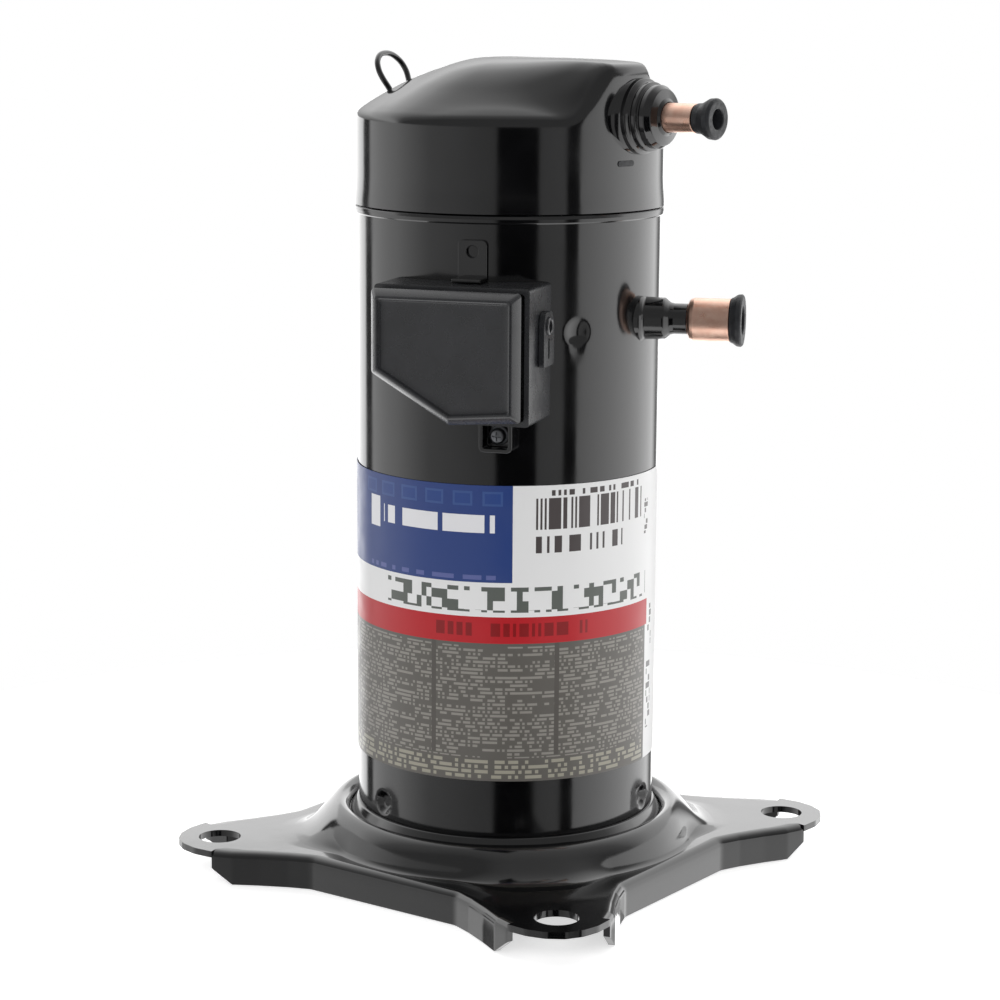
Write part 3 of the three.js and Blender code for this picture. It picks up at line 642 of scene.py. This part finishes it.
# ---------- mounting base ----------
FOOT_HALF = [(96, 38, 9), (106, 33.7, 12), (119, 29.5, 12), (131, 26.3, 10), (140, 22.3, 12),
             (147.4, 15.6, 10), (152, 8.2, 10), (153.8, 0, 0)]
FLANGE_END_U = 140 * MM              # the skirt stops here, and the foot's end is flat plate
SKIRT_RISE_U = 131 * MM              # its lower edge starts to rise here
SKIRT_LIFT = 7 * MM
BEND_R = 4 * MM
COLLAR = [(73.3, 22.6), (73.3, 25), (74.3, 27.2), (76.2, 28.9), (78.6, 29.2), (81.2, 27.9), (83.8, 25.0),
          (85.6, 21.4), (86.8, 18), (88, 15.9), (90, 15)]
COLLAR_ON_FOOT = [(73.3, 22.6), (73.3, 25), (74.3, 27.2), (76.2, 28.9), (78.6, 29.2), (81.2, 28.1),
                  (84.1, 25.7), (87.2, 22.5), (91, 18.8), (95.5, 16), (100, 15)]
FOOT_RAMP = (math.radians(7), math.radians(25))        # half the width of the ramp, and where it has ended


def foot_outline(spacing=1.6 * MM):
    """The outline of the base and its four feet, as evenly spaced points."""
    half = scaled(FOOT_HALF)
    foot = half + [(u, -v, r) for u, v, r in reversed(half[:-1])]
    foot.reverse()
    corners = []
    for i in range(4):
        turn = Matrix.Rotation(math.radians(45 + 90 * i), 2)
        corners += [(*(turn @ Vector((u, v))), r) for u, v, r in foot]
    soft = rounded(corners, 0, 6)
    out = []
    for i, p in enumerate(soft):
        q = soft[(i + 1) % len(soft)]
        steps = max(1, round((q - p).length / spacing))
        out += [p.lerp(q, k / steps) for k in range(steps)]
    return out


def along_foot(p):
    """Distance of a point along the axis of its own foot."""
    quarter = math.floor(math.atan2(p.y, p.x) / (math.pi / 2))
    angle = math.pi / 4 + quarter * math.pi / 2
    return p.x * math.cos(angle) + p.y * math.sin(angle)


def make_base():
    outline = foot_outline()
    count = len(outline)
    normals = []
    for i in range(count):
        d = outline[(i + 1) % count] - outline[i - 1]
        normals.append(Vector((-d.y, d.x)).normalized())
    kinds = ["flange" if along_foot(p) < FLANGE_END_U else "flat" for p in outline]
    verts, index = [], {}

    def vertex(key, x, y, z):
        if key not in index:
            index[key] = len(verts)
            verts.append((x, y, z))
        return index[key]

    between = spline(scaled(COLLAR), 36)
    on_foot = spline(scaled(COLLAR_ON_FOOT), 36)

    def collar_at(angle):
        """The collar's section in one direction: it runs out in a ramp along each foot."""
        from_foot = abs(math.remainder(angle - math.pi / 4, math.pi / 2))
        k = 1 - smoothstep(from_foot, *FOOT_RAMP)
        return [p.lerp(q, k) for p, q in zip(between, on_foot)]

    sections = [collar_at(math.atan2(p.y, p.x)) for p in outline]
    web_rows, bend_rows, skirt_rows = 6, 6, 3

    def point(i, row, kind):
        """Vertex of column i at a row counted outwards from the collar's inner edge."""
        p, n = outline[i], normals[i]
        angle = math.atan2(p.y, p.x)
        collar = sections[i]
        if row < len(collar):
            r, z = collar[row]
            return vertex((i, row), r * math.cos(angle), r * math.sin(angle), z)
        row -= len(collar)
        start = Vector((math.cos(angle), math.sin(angle))) * collar[-1].x
        edge = p + n * BEND_R
        if row < web_rows:
            q = start.lerp(edge, (row + 1) / web_rows)
            return vertex((i, "web", row), q.x, q.y, PLATE_TOP)
        row -= web_rows
        if kind == "flat":
            step = min(row + 1, bend_rows) / bend_rows
            q = edge.lerp(p, step)
            return vertex((i, "flat", min(row, bend_rows - 1)), q.x, q.y, PLATE_TOP)
        if row < bend_rows:
            t = (row + 1) / bend_rows * math.pi / 2
            q = edge - n * (BEND_R * math.sin(t))
            return vertex((i, "bend", row), q.x, q.y, PLATE_TOP - BEND_R * (1 - math.cos(t)))
        low = SKIRT_LIFT * min(max((along_foot(p) - SKIRT_RISE_U) / (FLANGE_END_U - SKIRT_RISE_U), 0), 1)
        t = (row - bend_rows + 1) / skirt_rows
        z = (PLATE_TOP - BEND_R) * (1 - t) + low * t
        return vertex((i, "skirt", row), p.x, p.y, z)

    faces = []
    total = len(between) + web_rows + bend_rows + skirt_rows
    for i in range(count):
        j = (i + 1) % count
        kind = "flange" if kinds[i] == kinds[j] == "flange" else "flat"
        last = total if kind == "flange" else total - skirt_rows
        for row in range(last - 1):
            corners = ((i, row), (j, row), (j, row + 1), (i, row + 1))
            faces.append([point(column, at, kind) for column, at in corners])
    obj = new_object("mounting_base_body", verts, faces)
    if sum(f.normal.z * f.area for f in obj.data.polygons) < 0:
        obj.data.flip_normals()
    made = obj.modifiers.new("thick", "SOLIDIFY")
    made.thickness = WALL
    made.offset = -1
    made.use_quality_normals = True
    apply_modifiers(obj)
    holes = [cylinder(f"hole_{i}", HOLE_R, 0, 0.03, Matrix.Rotation(math.radians(45 + 90 * i), 4, "Z")
                      @ Matrix.Translation((FOOT_U, 0, 0))) for i in range(4)]
    subtract(obj, *holes)
    bevel(obj, 0.5 * MM, 2, 50)
    return finish_piece(obj, "housing", "black_paint", "mounting_base")


# ---------- stubs ----------
def make_discharge_fitting():
    profile = [(6.6, 62), (16.6, 62), (16.6, 72.4), (15.2, 73.2), (14.6, 73.9), (15.1, 74.6), (15.1, 76.4),
               (13.6, 77), (13.9, 78), (13.9, 80.2, 1.4), (12.2, 82.6, 1), (8.2, 83.6, 0.8), (6.9, 84.6),
               (6.6, 84.6)]
    obj = revolve("discharge_fitting_body", scaled(profile), 128, DISCHARGE_PLACE, 0.6 * MM)
    return finish_piece(obj, "housing", "black_paint", "discharge_fitting")


def make_discharge_saddle():
    """The fitting's flange, pressed to the cap: an oval on the curved wall that draws in to a round neck."""
    columns = 96
    rows = [(1.0, 64, 0), (1.0, 69.2, 1), (0.97, 70.3, 1), (0.9, 71.2, 1), (0.8, 71.9, 1), (0.62, 72.6, 0.6),
            (0.3, 72.9, 0.2), (0.3, 64, 0)]
    verts, faces = [], []
    for size, out, follow in rows:
        for x, y in circle(columns):
            across = SADDLE_ACROSS * size * x
            up = SADDLE_UP * size * y
            drop = follow * (CAP_R - math.sqrt(CAP_R ** 2 - (across * MM) ** 2))
            verts.append((out * MM - drop, across * MM, DISCHARGE_Z + up * MM))
    for i in range(len(rows)):
        faces += strip(i * columns, (i + 1) % len(rows) * columns, columns)
    obj = new_object("discharge_fitting_saddle", verts, faces, 50)
    return finish_piece(obj, "housing", "black_paint", "discharge_fitting")


def make_discharge_tube():
    profile = [(5.35, 66), (6.35, 66), (6.35, 99), (5.35, 99)]
    obj = revolve("discharge_tube_body", scaled(profile), 96, DISCHARGE_PLACE, 0.25 * MM)
    return finish_piece(obj, "housing", "copper", "discharge_tube")


def make_discharge_plug():
    profile = [(0, 90, 0), (5.05, 90), (5.05, 98.7, 0), (4.6, 99.3, 0), (6.5, 99.5), (6.7, 102.3, 2),
               (8.8, 106.2, 1), (9, 108.6, 1.1), (8, 109.6, 1), (4.4, 109.5, 0.6), (3.9, 101, 0.8),
               (0, 101, 0)]
    obj = revolve("discharge_plug_body", scaled(profile), 96, DISCHARGE_PLACE, 0.5 * MM)
    return finish_piece(obj, "discharge_plug", "plug_rubber", "discharge_plug")


def make_suction_fitting():
    profile = [(6.3, 56), (11.3, 56), (11.3, 64.4, 0.9), (10.4, 65.4, 0.6), (9.5, 66.2, 0.8),
               (9.3, 74.8, 1.5), (7.3, 77.2, 1.5), (6.9, 79, 1), (6.9, 85), (6.3, 85)]
    obj = revolve("suction_fitting_body", scaled(profile), 128, SUCTION_PLACE, 0.4 * MM)
    return finish_piece(obj, "housing", "black_paint", "suction_fitting")


def make_suction_tube():
    profile = [(5, 70), (6, 70), (6, 85.3, 0.2), (7.4, 85.3, 0.6), (9, 86.2, 1.6), (9.6, 88, 1.5),
               (9.6, 104), (8.6, 104), (8.6, 88.5, 1), (7.4, 87.2, 1), (5, 86.6)]
    obj = revolve("suction_tube_body", scaled(profile), 128, SUCTION_PLACE, 0.25 * MM)
    return finish_piece(obj, "housing", "copper", "suction_tube")


def make_suction_plug():
    profile = [(0, 95, 0), (8.3, 95), (8.3, 103.4, 0), (7.9, 104.3, 0), (9.9, 104.3), (10.2, 105.2, 1),
               (11.5, 107.2, 0.6), (11.7, 108.9, 0.7), (11, 109.7, 0.5), (6.4, 109.6, 0.6), (5.9, 98, 0.8),
               (0, 98, 0)]
    obj = revolve("suction_plug_body", scaled(profile), 128, SUCTION_PLACE, 0.4 * MM)
    return finish_piece(obj, "suction_plug", "plug_rubber", "suction_plug")


RING_ANGLE = math.radians(-173.8)
RING_LEAN = math.radians(26)         # outwards from upright
RING_FOOT_R, RING_FOOT_Z = 58, 357.5
RING_WIRE_R = 1.35 * MM


def make_lifting_ring():
    """An eye of bent wire, leaning out from the dome."""
    place = Matrix.Rotation(RING_ANGLE, 4, "Z")
    half = [(-8.4, -1), (-9.4, 2), (-11, 6), (-11.6, 10), (-10, 14.3), (-5.6, 17.6), (0, 18.6)]
    loop = half + [(-side, rise) for side, rise in reversed(half[:-1])]
    path = [place @ (Vector((RING_FOOT_R + rise * math.sin(RING_LEAN), side,
                             RING_FOOT_Z + rise * math.cos(RING_LEAN))) * MM) for side, rise in loop]
    obj = tube("lifting_ring_loop", spline(path, 72), RING_WIRE_R)
    return finish_piece(obj, "housing", "black_paint", "lifting_ring")


# ---------- label ----------
LABEL_FROM, LABEL_TO = math.radians(-154.5), math.radians(25.5)
LABEL_LOW, LABEL_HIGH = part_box("rating_label")[0].z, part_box("rating_label")[1].z
LABEL_CORNER = 3 * MM


def make_label():
    """A curved sheet with rounded corners, and a map that counts metres round and up the shell."""
    columns = 180
    width = (LABEL_TO - LABEL_FROM) * SHELL_R
    verts, faces, flat = [], [], []
    for r in (SHELL_R + 0.32 * MM, SHELL_R + 0.5 * MM):
        for i in range(columns + 1):
            s = width * i / columns
            corner = min(s, width - s)
            short = max(LABEL_CORNER - corner, 0)
            cut = LABEL_CORNER - math.sqrt(max(LABEL_CORNER ** 2 - short ** 2, 0))
            for z in (LABEL_LOW + cut, LABEL_HIGH - cut):
                angle = LABEL_FROM + s / SHELL_R
                verts.append((r * math.cos(angle), r * math.sin(angle), z))
                flat.append((s, z))
    side = (columns + 1) * 2
    for i in range(columns):
        a, b, c, d = 2 * i, 2 * i + 1, 2 * i + 3, 2 * i + 2
        faces += [[a, b, c, d], [a + side, b + side, c + side, d + side]]
        faces += [[a, d, d + side, a + side], [b, c, c + side, b + side]]
    faces += [[0, 1, 1 + side, side], [side - 2, side - 1, 2 * side - 1, 2 * side - 2]]
    obj = new_object("rating_label_sheet", verts, faces)
    uv = obj.data.uv_layers.new(name="print")
    for loop in obj.data.loops:
        uv.data[loop.index].uv = flat[loop.vertex_index]
    return finish_piece(obj, "housing", "label", "rating_label")


# ---------- terminal box ----------
# The heel is the height of the lower right corner.
BOX = {"left": -32.5, "right": 37, "bottom": 220.5, "top": 279.5, "heel": 220.5}
COVER = {"left": -31.6, "right": 35.2, "bottom": 221, "top": 278.3, "heel": 223.2}
CHAMFER_X, CHAMFER_Y = 35, 21        # the box's lower left corner is cut off this far
CUP_R, CUP_Z = 15.9 * MM, 243 * MM   # the hermetic terminal's cup comes through the tray here
CABLE_HOLE_R = 7 * MM


def box_outline(margin, box=None, radius=1.5):
    """The box seen from the front, in metres, shrunk by a margin, with rounded corners."""
    box = box or BOX
    slope = math.hypot(CHAMFER_X, CHAMFER_Y)
    left, right = box["left"] + margin, box["right"] - margin
    low, high = box["bottom"] + margin, box["top"] - margin
    corners = [(right, box["heel"] + margin), (right, high), (left, high),
               (left, box["bottom"] + CHAMFER_Y + margin * (slope - CHAMFER_Y) / CHAMFER_X),
               (box["left"] + CHAMFER_X + margin * (slope - CHAMFER_X) / CHAMFER_Y, low)]
    return rounded(scaled(corners), radius * MM, 4)


def box_prism(name, margin, n0, n1):
    return prism(name, box_outline(margin), n0 * MM, n1 * MM, BOX_PLACE)


def loft(name, sections, place):
    """Joins closed outlines of equal length, each [outline, height], and closes both ends."""
    count = len(sections[0][0])
    verts = [place @ Vector((p[0], p[1], z)) for outline, z in sections for p in outline]
    faces = [list(range(count)), list(range((len(sections) - 1) * count, len(sections) * count))]
    for k in range(len(sections) - 1):
        faces += strip(k * count, (k + 1) * count, count)
    return new_object(name, verts, faces)


def make_terminal_box():
    """The tray on the shell: thin walls, a back that follows the shell and a hole for the cable."""
    obj = box_prism("terminal_box_tray", 0, 50, 91)
    shell = cylinder("tool_shell", SHELL_R + 0.4 * MM, 0.2, 0.3, segments=180)
    hollow = box_prism("tool_hollow", 2.2, 50, 93)
    subtract(hollow, cylinder("tool_back", SHELL_R + 2.6 * MM, 0.2, 0.3, segments=180))
    cup = cylinder("tool_cup", CUP_R, 50 * MM, 80 * MM, BOX_PLACE @ Matrix.Translation((0, CUP_Z, 0)))
    turned = Matrix.Rotation(BOX_ANGLE + math.pi / 2, 4, "Z")
    cable = cylinder("tool_cable", CABLE_HOLE_R, 210 * MM, 230 * MM,
                     turned @ Matrix.Translation((20 * MM, -82 * MM, 0)))
    subtract(obj, shell, hollow, cup, cable)
    bevel(obj, 0.6 * MM, 3, 45)
    return finish_piece(obj, "housing", "box_plastic", "terminal_box")


# The lid's section from its back edge over the rim to the flat panel: [margin, distance out, corner radius].
LID = [(5.6, 89.5, 1.5), (4.6, 92.5, 1.5), (1, 96.2, 1.6), (0.2, 96.8, 1.6), (0, 97.4, 1.6), (0.3, 98, 1.6),
       (2.7, 101.5, 1.5), (3.2, 101.9, 1.4), (3.8, 102, 1.3), (4.3, 101.7, 1.2), (4.9, 100.3, 1),
       (5.3, 100.1, 1), (7.5, 100.1, 1)]


def make_terminal_cover():
    """A lid with a bevelled rim round a flat panel, and sides that draw in behind it."""
    sections = [(box_outline(margin, COVER, radius), out * MM) for margin, out, radius in LID]
    obj = loft("terminal_cover_lid", sections, BOX_PLACE)
    hollow = prism("tool_inside", box_outline(7.4, COVER, 1), 88 * MM, 97.5 * MM, BOX_PLACE)
    subtract(obj, hollow)
    return finish_piece(obj, "terminal_cover", "box_plastic", "terminal_cover")


# ---------- box fittings ----------
def plate_with_holes(name, outline, radius, back, front, holes, place):
    """A flat plate with rounded corners, cut by round holes [x, y, r] or slots [x, y0, y1, r]."""
    obj = prism(name, rounded(scaled(outline), radius * MM, 6), back, front, place)
    tools = []
    for k, hole in enumerate(holes):
        if len(hole) == 3:
            x, y, r = (v * MM for v in hole)
            spot = place @ Matrix.Translation((x, y, 0))
            tools.append(cylinder(f"tool_hole_{k}", r, back - 2 * MM, front + 2 * MM, spot, 40))
        else:
            x, y0, y1, r = hole
            slot = rounded(scaled([(x - r, y0), (x + r, y0), (x + r, y1), (x - r, y1)]), r * 0.98 * MM, 6)
            tools.append(prism(f"tool_slot_{k}", slot, back - 2 * MM, front + 2 * MM, place))
    return subtract(obj, *tools)


def make_latch():
    """The strap that holds the cover shut, on the box's right side: an eye above a long slot."""
    side = (BOX_PLACE @ Matrix.Translation((37.3 * MM, 0, 0)) @ Matrix.Rotation(math.pi / 2, 4, "Y"))
    outline = [(-78, 244.5), (-62.5, 244.5), (-62.5, 262, 3), (-66, 268, 3), (-76, 268, 3), (-78, 262, 2)]
    holes = [(-71, 261.8, 2.3), (-70.5, 247.5, 256.5, 1)]
    obj = plate_with_holes("cover_latch_strap", outline, 1.6, 0, 2.4 * MM, holes, side)
    bevel(obj, 0.5 * MM, 2, 50)
    eye = scaled([(2.6, 2), (4.1, 2), (4.1, 3.2, 0.8), (3.2, 3.6, 0.5), (2.6, 3.2, 0.3)])
    rim = revolve("cover_latch_eye", eye, 40, side @ Matrix.Translation((-71 * MM, 261.8 * MM, 0)))
    finish_piece(rim, "housing", "box_plastic", "cover_latch")
    return finish_piece(obj, "housing", "box_plastic", "cover_latch")


def make_box_bracket():
    """The tab welded to the shell above the box, with a hole, and the lip that holds the tray."""
    tab = [(-1.5, 280, 0.3), (11.5, 280, 0.3), (11.5, 297.5), (-1.5, 297.5)]
    obj = plate_with_holes("box_bracket_tab", tab, 2.2, 67.6 * MM, 70.9 * MM, [(5, 292.5, 2.6)], BOX_PLACE)
    edge = scaled([(-1.5, 279.9), (11.5, 279.9), (11.5, 281.5), (-1.5, 281.5)])
    lip = prism("box_bracket_lip", edge, 69 * MM, 80 * MM, BOX_PLACE)
    for piece in (obj, lip):
        bevel(piece, 0.45 * MM, 3, 50)
        finish_piece(piece, "housing", "black_paint", "box_bracket")


def make_ground_bracket():
    """A small pocket under the box, for the earth screw."""
    outer = [(10.5, 206.5, 2.5), (25.5, 206.5, 2.5), (25.5, 219.5, 0.4), (10.5, 219.5, 0.4)]
    obj = prism("ground_bracket_pocket", rounded(scaled(outer), MM), 66 * MM, 78 * MM, BOX_PLACE)
    inner = [(12.3, 208.3, 1.2), (23.7, 208.3, 1.2), (23.7, 218.5, 0.6), (12.3, 218.5, 0.6)]
    hollow = prism("tool_pocket", rounded(scaled(inner), MM), 71 * MM, 80 * MM, BOX_PLACE)
    subtract(obj, hollow)
    bevel(obj, 0.5 * MM, 3, 50)
    return finish_piece(obj, "housing", "black_paint", "ground_bracket")


def make_ground_screw():
    """A washer-head screw with a cross slot."""
    place = BOX_PLACE @ Matrix.Translation((18 * MM, 213.4 * MM, 0))
    profile = [(0, 70.5, 0), (4.4, 70.5), (4.4, 72.6, 0.3), (3.3, 72.9, 0.3), (3.1, 75.4, 0.9), (0, 76, 0)]
    obj = revolve("ground_screw_head", scaled(profile), 64, place)
    for name, wide, high in (("tool_cross_a", 2, 0.35), ("tool_cross_b", 0.35, 2)):
        bar = scaled([(-wide, -high), (wide, -high), (wide, high), (-wide, high)])
        subtract(obj, prism(name, bar, 74.8 * MM, 78 * MM, place))
    return finish_piece(obj, "housing", "steel", "ground_screw")


# ---------- stage ----------
FLOOR_R = 0.42


def make_floor():
    floor = cylinder("floor", FLOOR_R, -2 * MM, -0.5 * MM, segments=128)
    mat = material("floor_paint", (0.8, 0.8, 0.8), 0.6)
    vary_color(mat, noise(mat, 4, 2), (0.79, 0.79, 0.79), (0.82, 0.82, 0.82))
    shader_of(mat).inputs["Emission Color"].default_value = (1, 1, 1, 1)
    shader_of(mat).inputs["Emission Strength"].default_value = 0.6
    floor.data.materials.append(mat)
    floor.visible_glossy = False


# Brightness of the studio's wall, by angle from the camera towards its right, in degrees.
STUDIO = [(-180, 2.2), (-137, 2.2), (-134, 0.1), (-125, 0.1), (-122, 1.2), (-90, 1.04), (-60, 0.5),
          (-22, 0.33), (-10, 0.3), (-8, 0.0), (20, 0.0), (21.5, 0.35), (40, 0.4), (42, 0.02), (50.5, 0.02),
          (52, 0.95), (90, 1.6), (120, 2.0), (140, 2.0), (150, 0.3), (156, 0.3), (160, 2.2), (180, 2.2)]
BRIGHTEST = 2.2
WALL_R = 1.1
WALL_LOW, WALL_TOP = -0.7, 0.40
# Brightness above the wall, by angle up from the back horizon over the zenith to the front one.
SKY = [(0, 0.42), (10, 0.8), (25, 1.6), (50, 1.6), (70, 1.1), (92, 0.5), (125, 0.25), (180, 0.25)]
BELOW_LEVEL = 1.3                    # brightness below the horizon
FILL_SIZE, FILL_POWER = 0.9, 9
FILL_DISTANCE, FILL_HEIGHT = 1.35, 0.75
LENS, SHIFT = 99.0, -0.0075
CAMERA_DISTANCE, CAMERA_HEIGHT = 1.252, 0.4049
CAMERA_DOWN, CAMERA_ROLL = 10.58, 0.40                 # degrees


def ramp_of(mat_tree, stops, scale):
    """A colour ramp through [place, level] stops, the levels divided by scale."""
    ramp = mat_tree.nodes.new("ShaderNodeValToRGB")
    elements = ramp.color_ramp.elements
    elements[0].position, elements[1].position = 0, 1
    for place, level in stops[1:-1]:
        elements.new(place)
    for element, (place, level) in zip(elements, stops):
        element.position = place
        element.color = (level / scale, level / scale, level / scale, 1)
    return ramp


def make_wall():
    """A white cyclorama of soft panels with dark gaps, standing round the object. It only gives light."""
    columns = 256
    verts = [(WALL_R * x, WALL_R * y, z) for z in (WALL_LOW, WALL_TOP) for x, y in circle(columns)]
    wall = new_object("studio_wall", verts, strip(0, columns, columns))
    wall.visible_camera = False
    wall.visible_shadow = False
    mat = bpy.data.materials.new("studio_wall")
    mat.use_nodes = True
    tree = mat.node_tree
    tree.nodes.remove(shader_of(mat))
    coords = node(mat, "ShaderNodeTexCoord")
    split = node(mat, "ShaderNodeSeparateXYZ")
    link(mat, coords.outputs["Object"], split.inputs["Vector"])
    angle = calc(mat, "ARCTAN2", split.outputs["Y"], split.outputs["X"])
    turned = calc(mat, "ADD", calc(mat, "SUBTRACT", angle, VIEW_ANGLE), 3 * math.pi)
    turn = calc(mat, "FRACT", calc(mat, "DIVIDE", turned, 2 * math.pi))
    ramp = ramp_of(tree, [((place + 180) / 360, level) for place, level in STUDIO], BRIGHTEST)
    link(mat, turn, ramp.inputs["Fac"])
    glow = node(mat, "ShaderNodeEmission")
    link(mat, ramp.outputs["Color"], glow.inputs["Color"])
    glow.inputs["Strength"].default_value = BRIGHTEST
    link(mat, glow.outputs["Emission"], tree.nodes["Material Output"].inputs["Surface"])
    wall.data.materials.append(mat)


def make_world():
    """The room above and below the wall. The camera sees plain white."""
    world = bpy.data.worlds.new("studio")
    bpy.context.scene.world = world
    world.use_nodes = True
    world.node_tree.nodes.clear()
    ray = node(world, "ShaderNodeTexCoord").outputs["Generated"]

    def along(direction):
        made = node(world, "ShaderNodeVectorMath", operation="DOT_PRODUCT")
        link(world, ray, made.inputs[0])
        made.inputs[1].default_value = direction
        return made.outputs["Value"]

    up = along((0, 0, 1))
    back = along((-math.cos(VIEW_ANGLE), -math.sin(VIEW_ANGLE), 0))
    over = calc(world, "ARCTAN2", calc(world, "ABSOLUTE", up), back)
    ramp = ramp_of(world.node_tree, [(place / 180, level) for place, level in SKY], 1.0)
    link(world, calc(world, "DIVIDE", over, math.pi), ramp.inputs["Fac"])
    sky = node(world, "ShaderNodeMix")
    link(world, calc(world, "LESS_THAN", up, 0), sky.inputs["Factor"])
    link(world, ramp.outputs["Color"], sky.inputs["A"])
    sky.inputs["B"].default_value = BELOW_LEVEL
    lit = node(world, "ShaderNodeBackground")
    link(world, sky.outputs["Result"], lit.inputs["Strength"])
    seen = node(world, "ShaderNodeBackground")
    for background in (lit, seen):
        background.inputs["Color"].default_value = (1, 1, 1, 1)
    path = node(world, "ShaderNodeLightPath")
    join = node(world, "ShaderNodeMixShader")
    link(world, path.outputs["Is Camera Ray"], join.inputs["Fac"])
    link(world, lit.outputs["Background"], join.inputs[1])
    link(world, seen.outputs["Background"], join.inputs[2])
    out = node(world, "ShaderNodeOutputWorld")
    link(world, join.outputs["Shader"], out.inputs["Surface"])


def make_fill():
    """A broad soft light by the camera that lights colours but is not seen in the gloss."""
    data = bpy.data.lights.new("fill", "AREA")
    data.shape = "RECTANGLE"
    data.size, data.size_y = FILL_SIZE, FILL_SIZE
    data.energy = FILL_POWER
    fill = bpy.data.objects.new("fill", data)
    bpy.context.scene.collection.objects.link(fill)
    spot = Vector((FILL_DISTANCE * math.cos(VIEW_ANGLE), FILL_DISTANCE * math.sin(VIEW_ANGLE), FILL_HEIGHT))
    fill.matrix_world = Matrix.Translation(spot) @ spot.to_track_quat("Z", "Y").to_matrix().to_4x4()
    fill.visible_glossy = False
    fill.visible_camera = False


def make_camera():
    data = bpy.data.cameras.new("camera")
    data.lens = LENS
    data.sensor_width = 36
    data.shift_x = SHIFT
    data.clip_end = 20
    camera = bpy.data.objects.new("camera", data)
    bpy.context.scene.collection.objects.link(camera)
    x, y = CAMERA_DISTANCE * math.cos(VIEW_ANGLE), CAMERA_DISTANCE * math.sin(VIEW_ANGLE)
    yaw = Matrix.Rotation(VIEW_ANGLE + math.pi / 2, 4, "Z")
    pitch = Matrix.Rotation(math.radians(90 - CAMERA_DOWN), 4, "X")
    roll = Matrix.Rotation(math.radians(CAMERA_ROLL), 4, "Z")
    camera.matrix_world = Matrix.Translation((x, y, CAMERA_HEIGHT)) @ yaw @ pitch @ roll
    bpy.context.scene.camera = camera


def dress_frame_nodes():
    """Procedural finishes for the CAD parts that stay as they are."""
    for part in frame["record"]["subparts"]:
        obj = frame["nodes"][part["node"]]
        obj.data.materials.clear()
        obj.data.materials.append(MATERIALS[part["material_slot"]])


make_camera()
make_world()
make_wall()
make_fill()
make_floor()
dress_frame_nodes()
make_shell()
make_top_cap()
make_cap_shade_dash()
make_seam()
make_lower_cap()
make_base()
make_discharge_fitting()
make_discharge_saddle()
make_discharge_tube()
make_discharge_plug()
make_suction_fitting()
make_suction_tube()
make_suction_plug()
make_lifting_ring()
make_label()
make_terminal_box()
make_terminal_cover()
make_latch()
make_box_bracket()
make_ground_bracket()
make_ground_screw()
bpy.context.scene.view_settings.view_transform = "Standard"
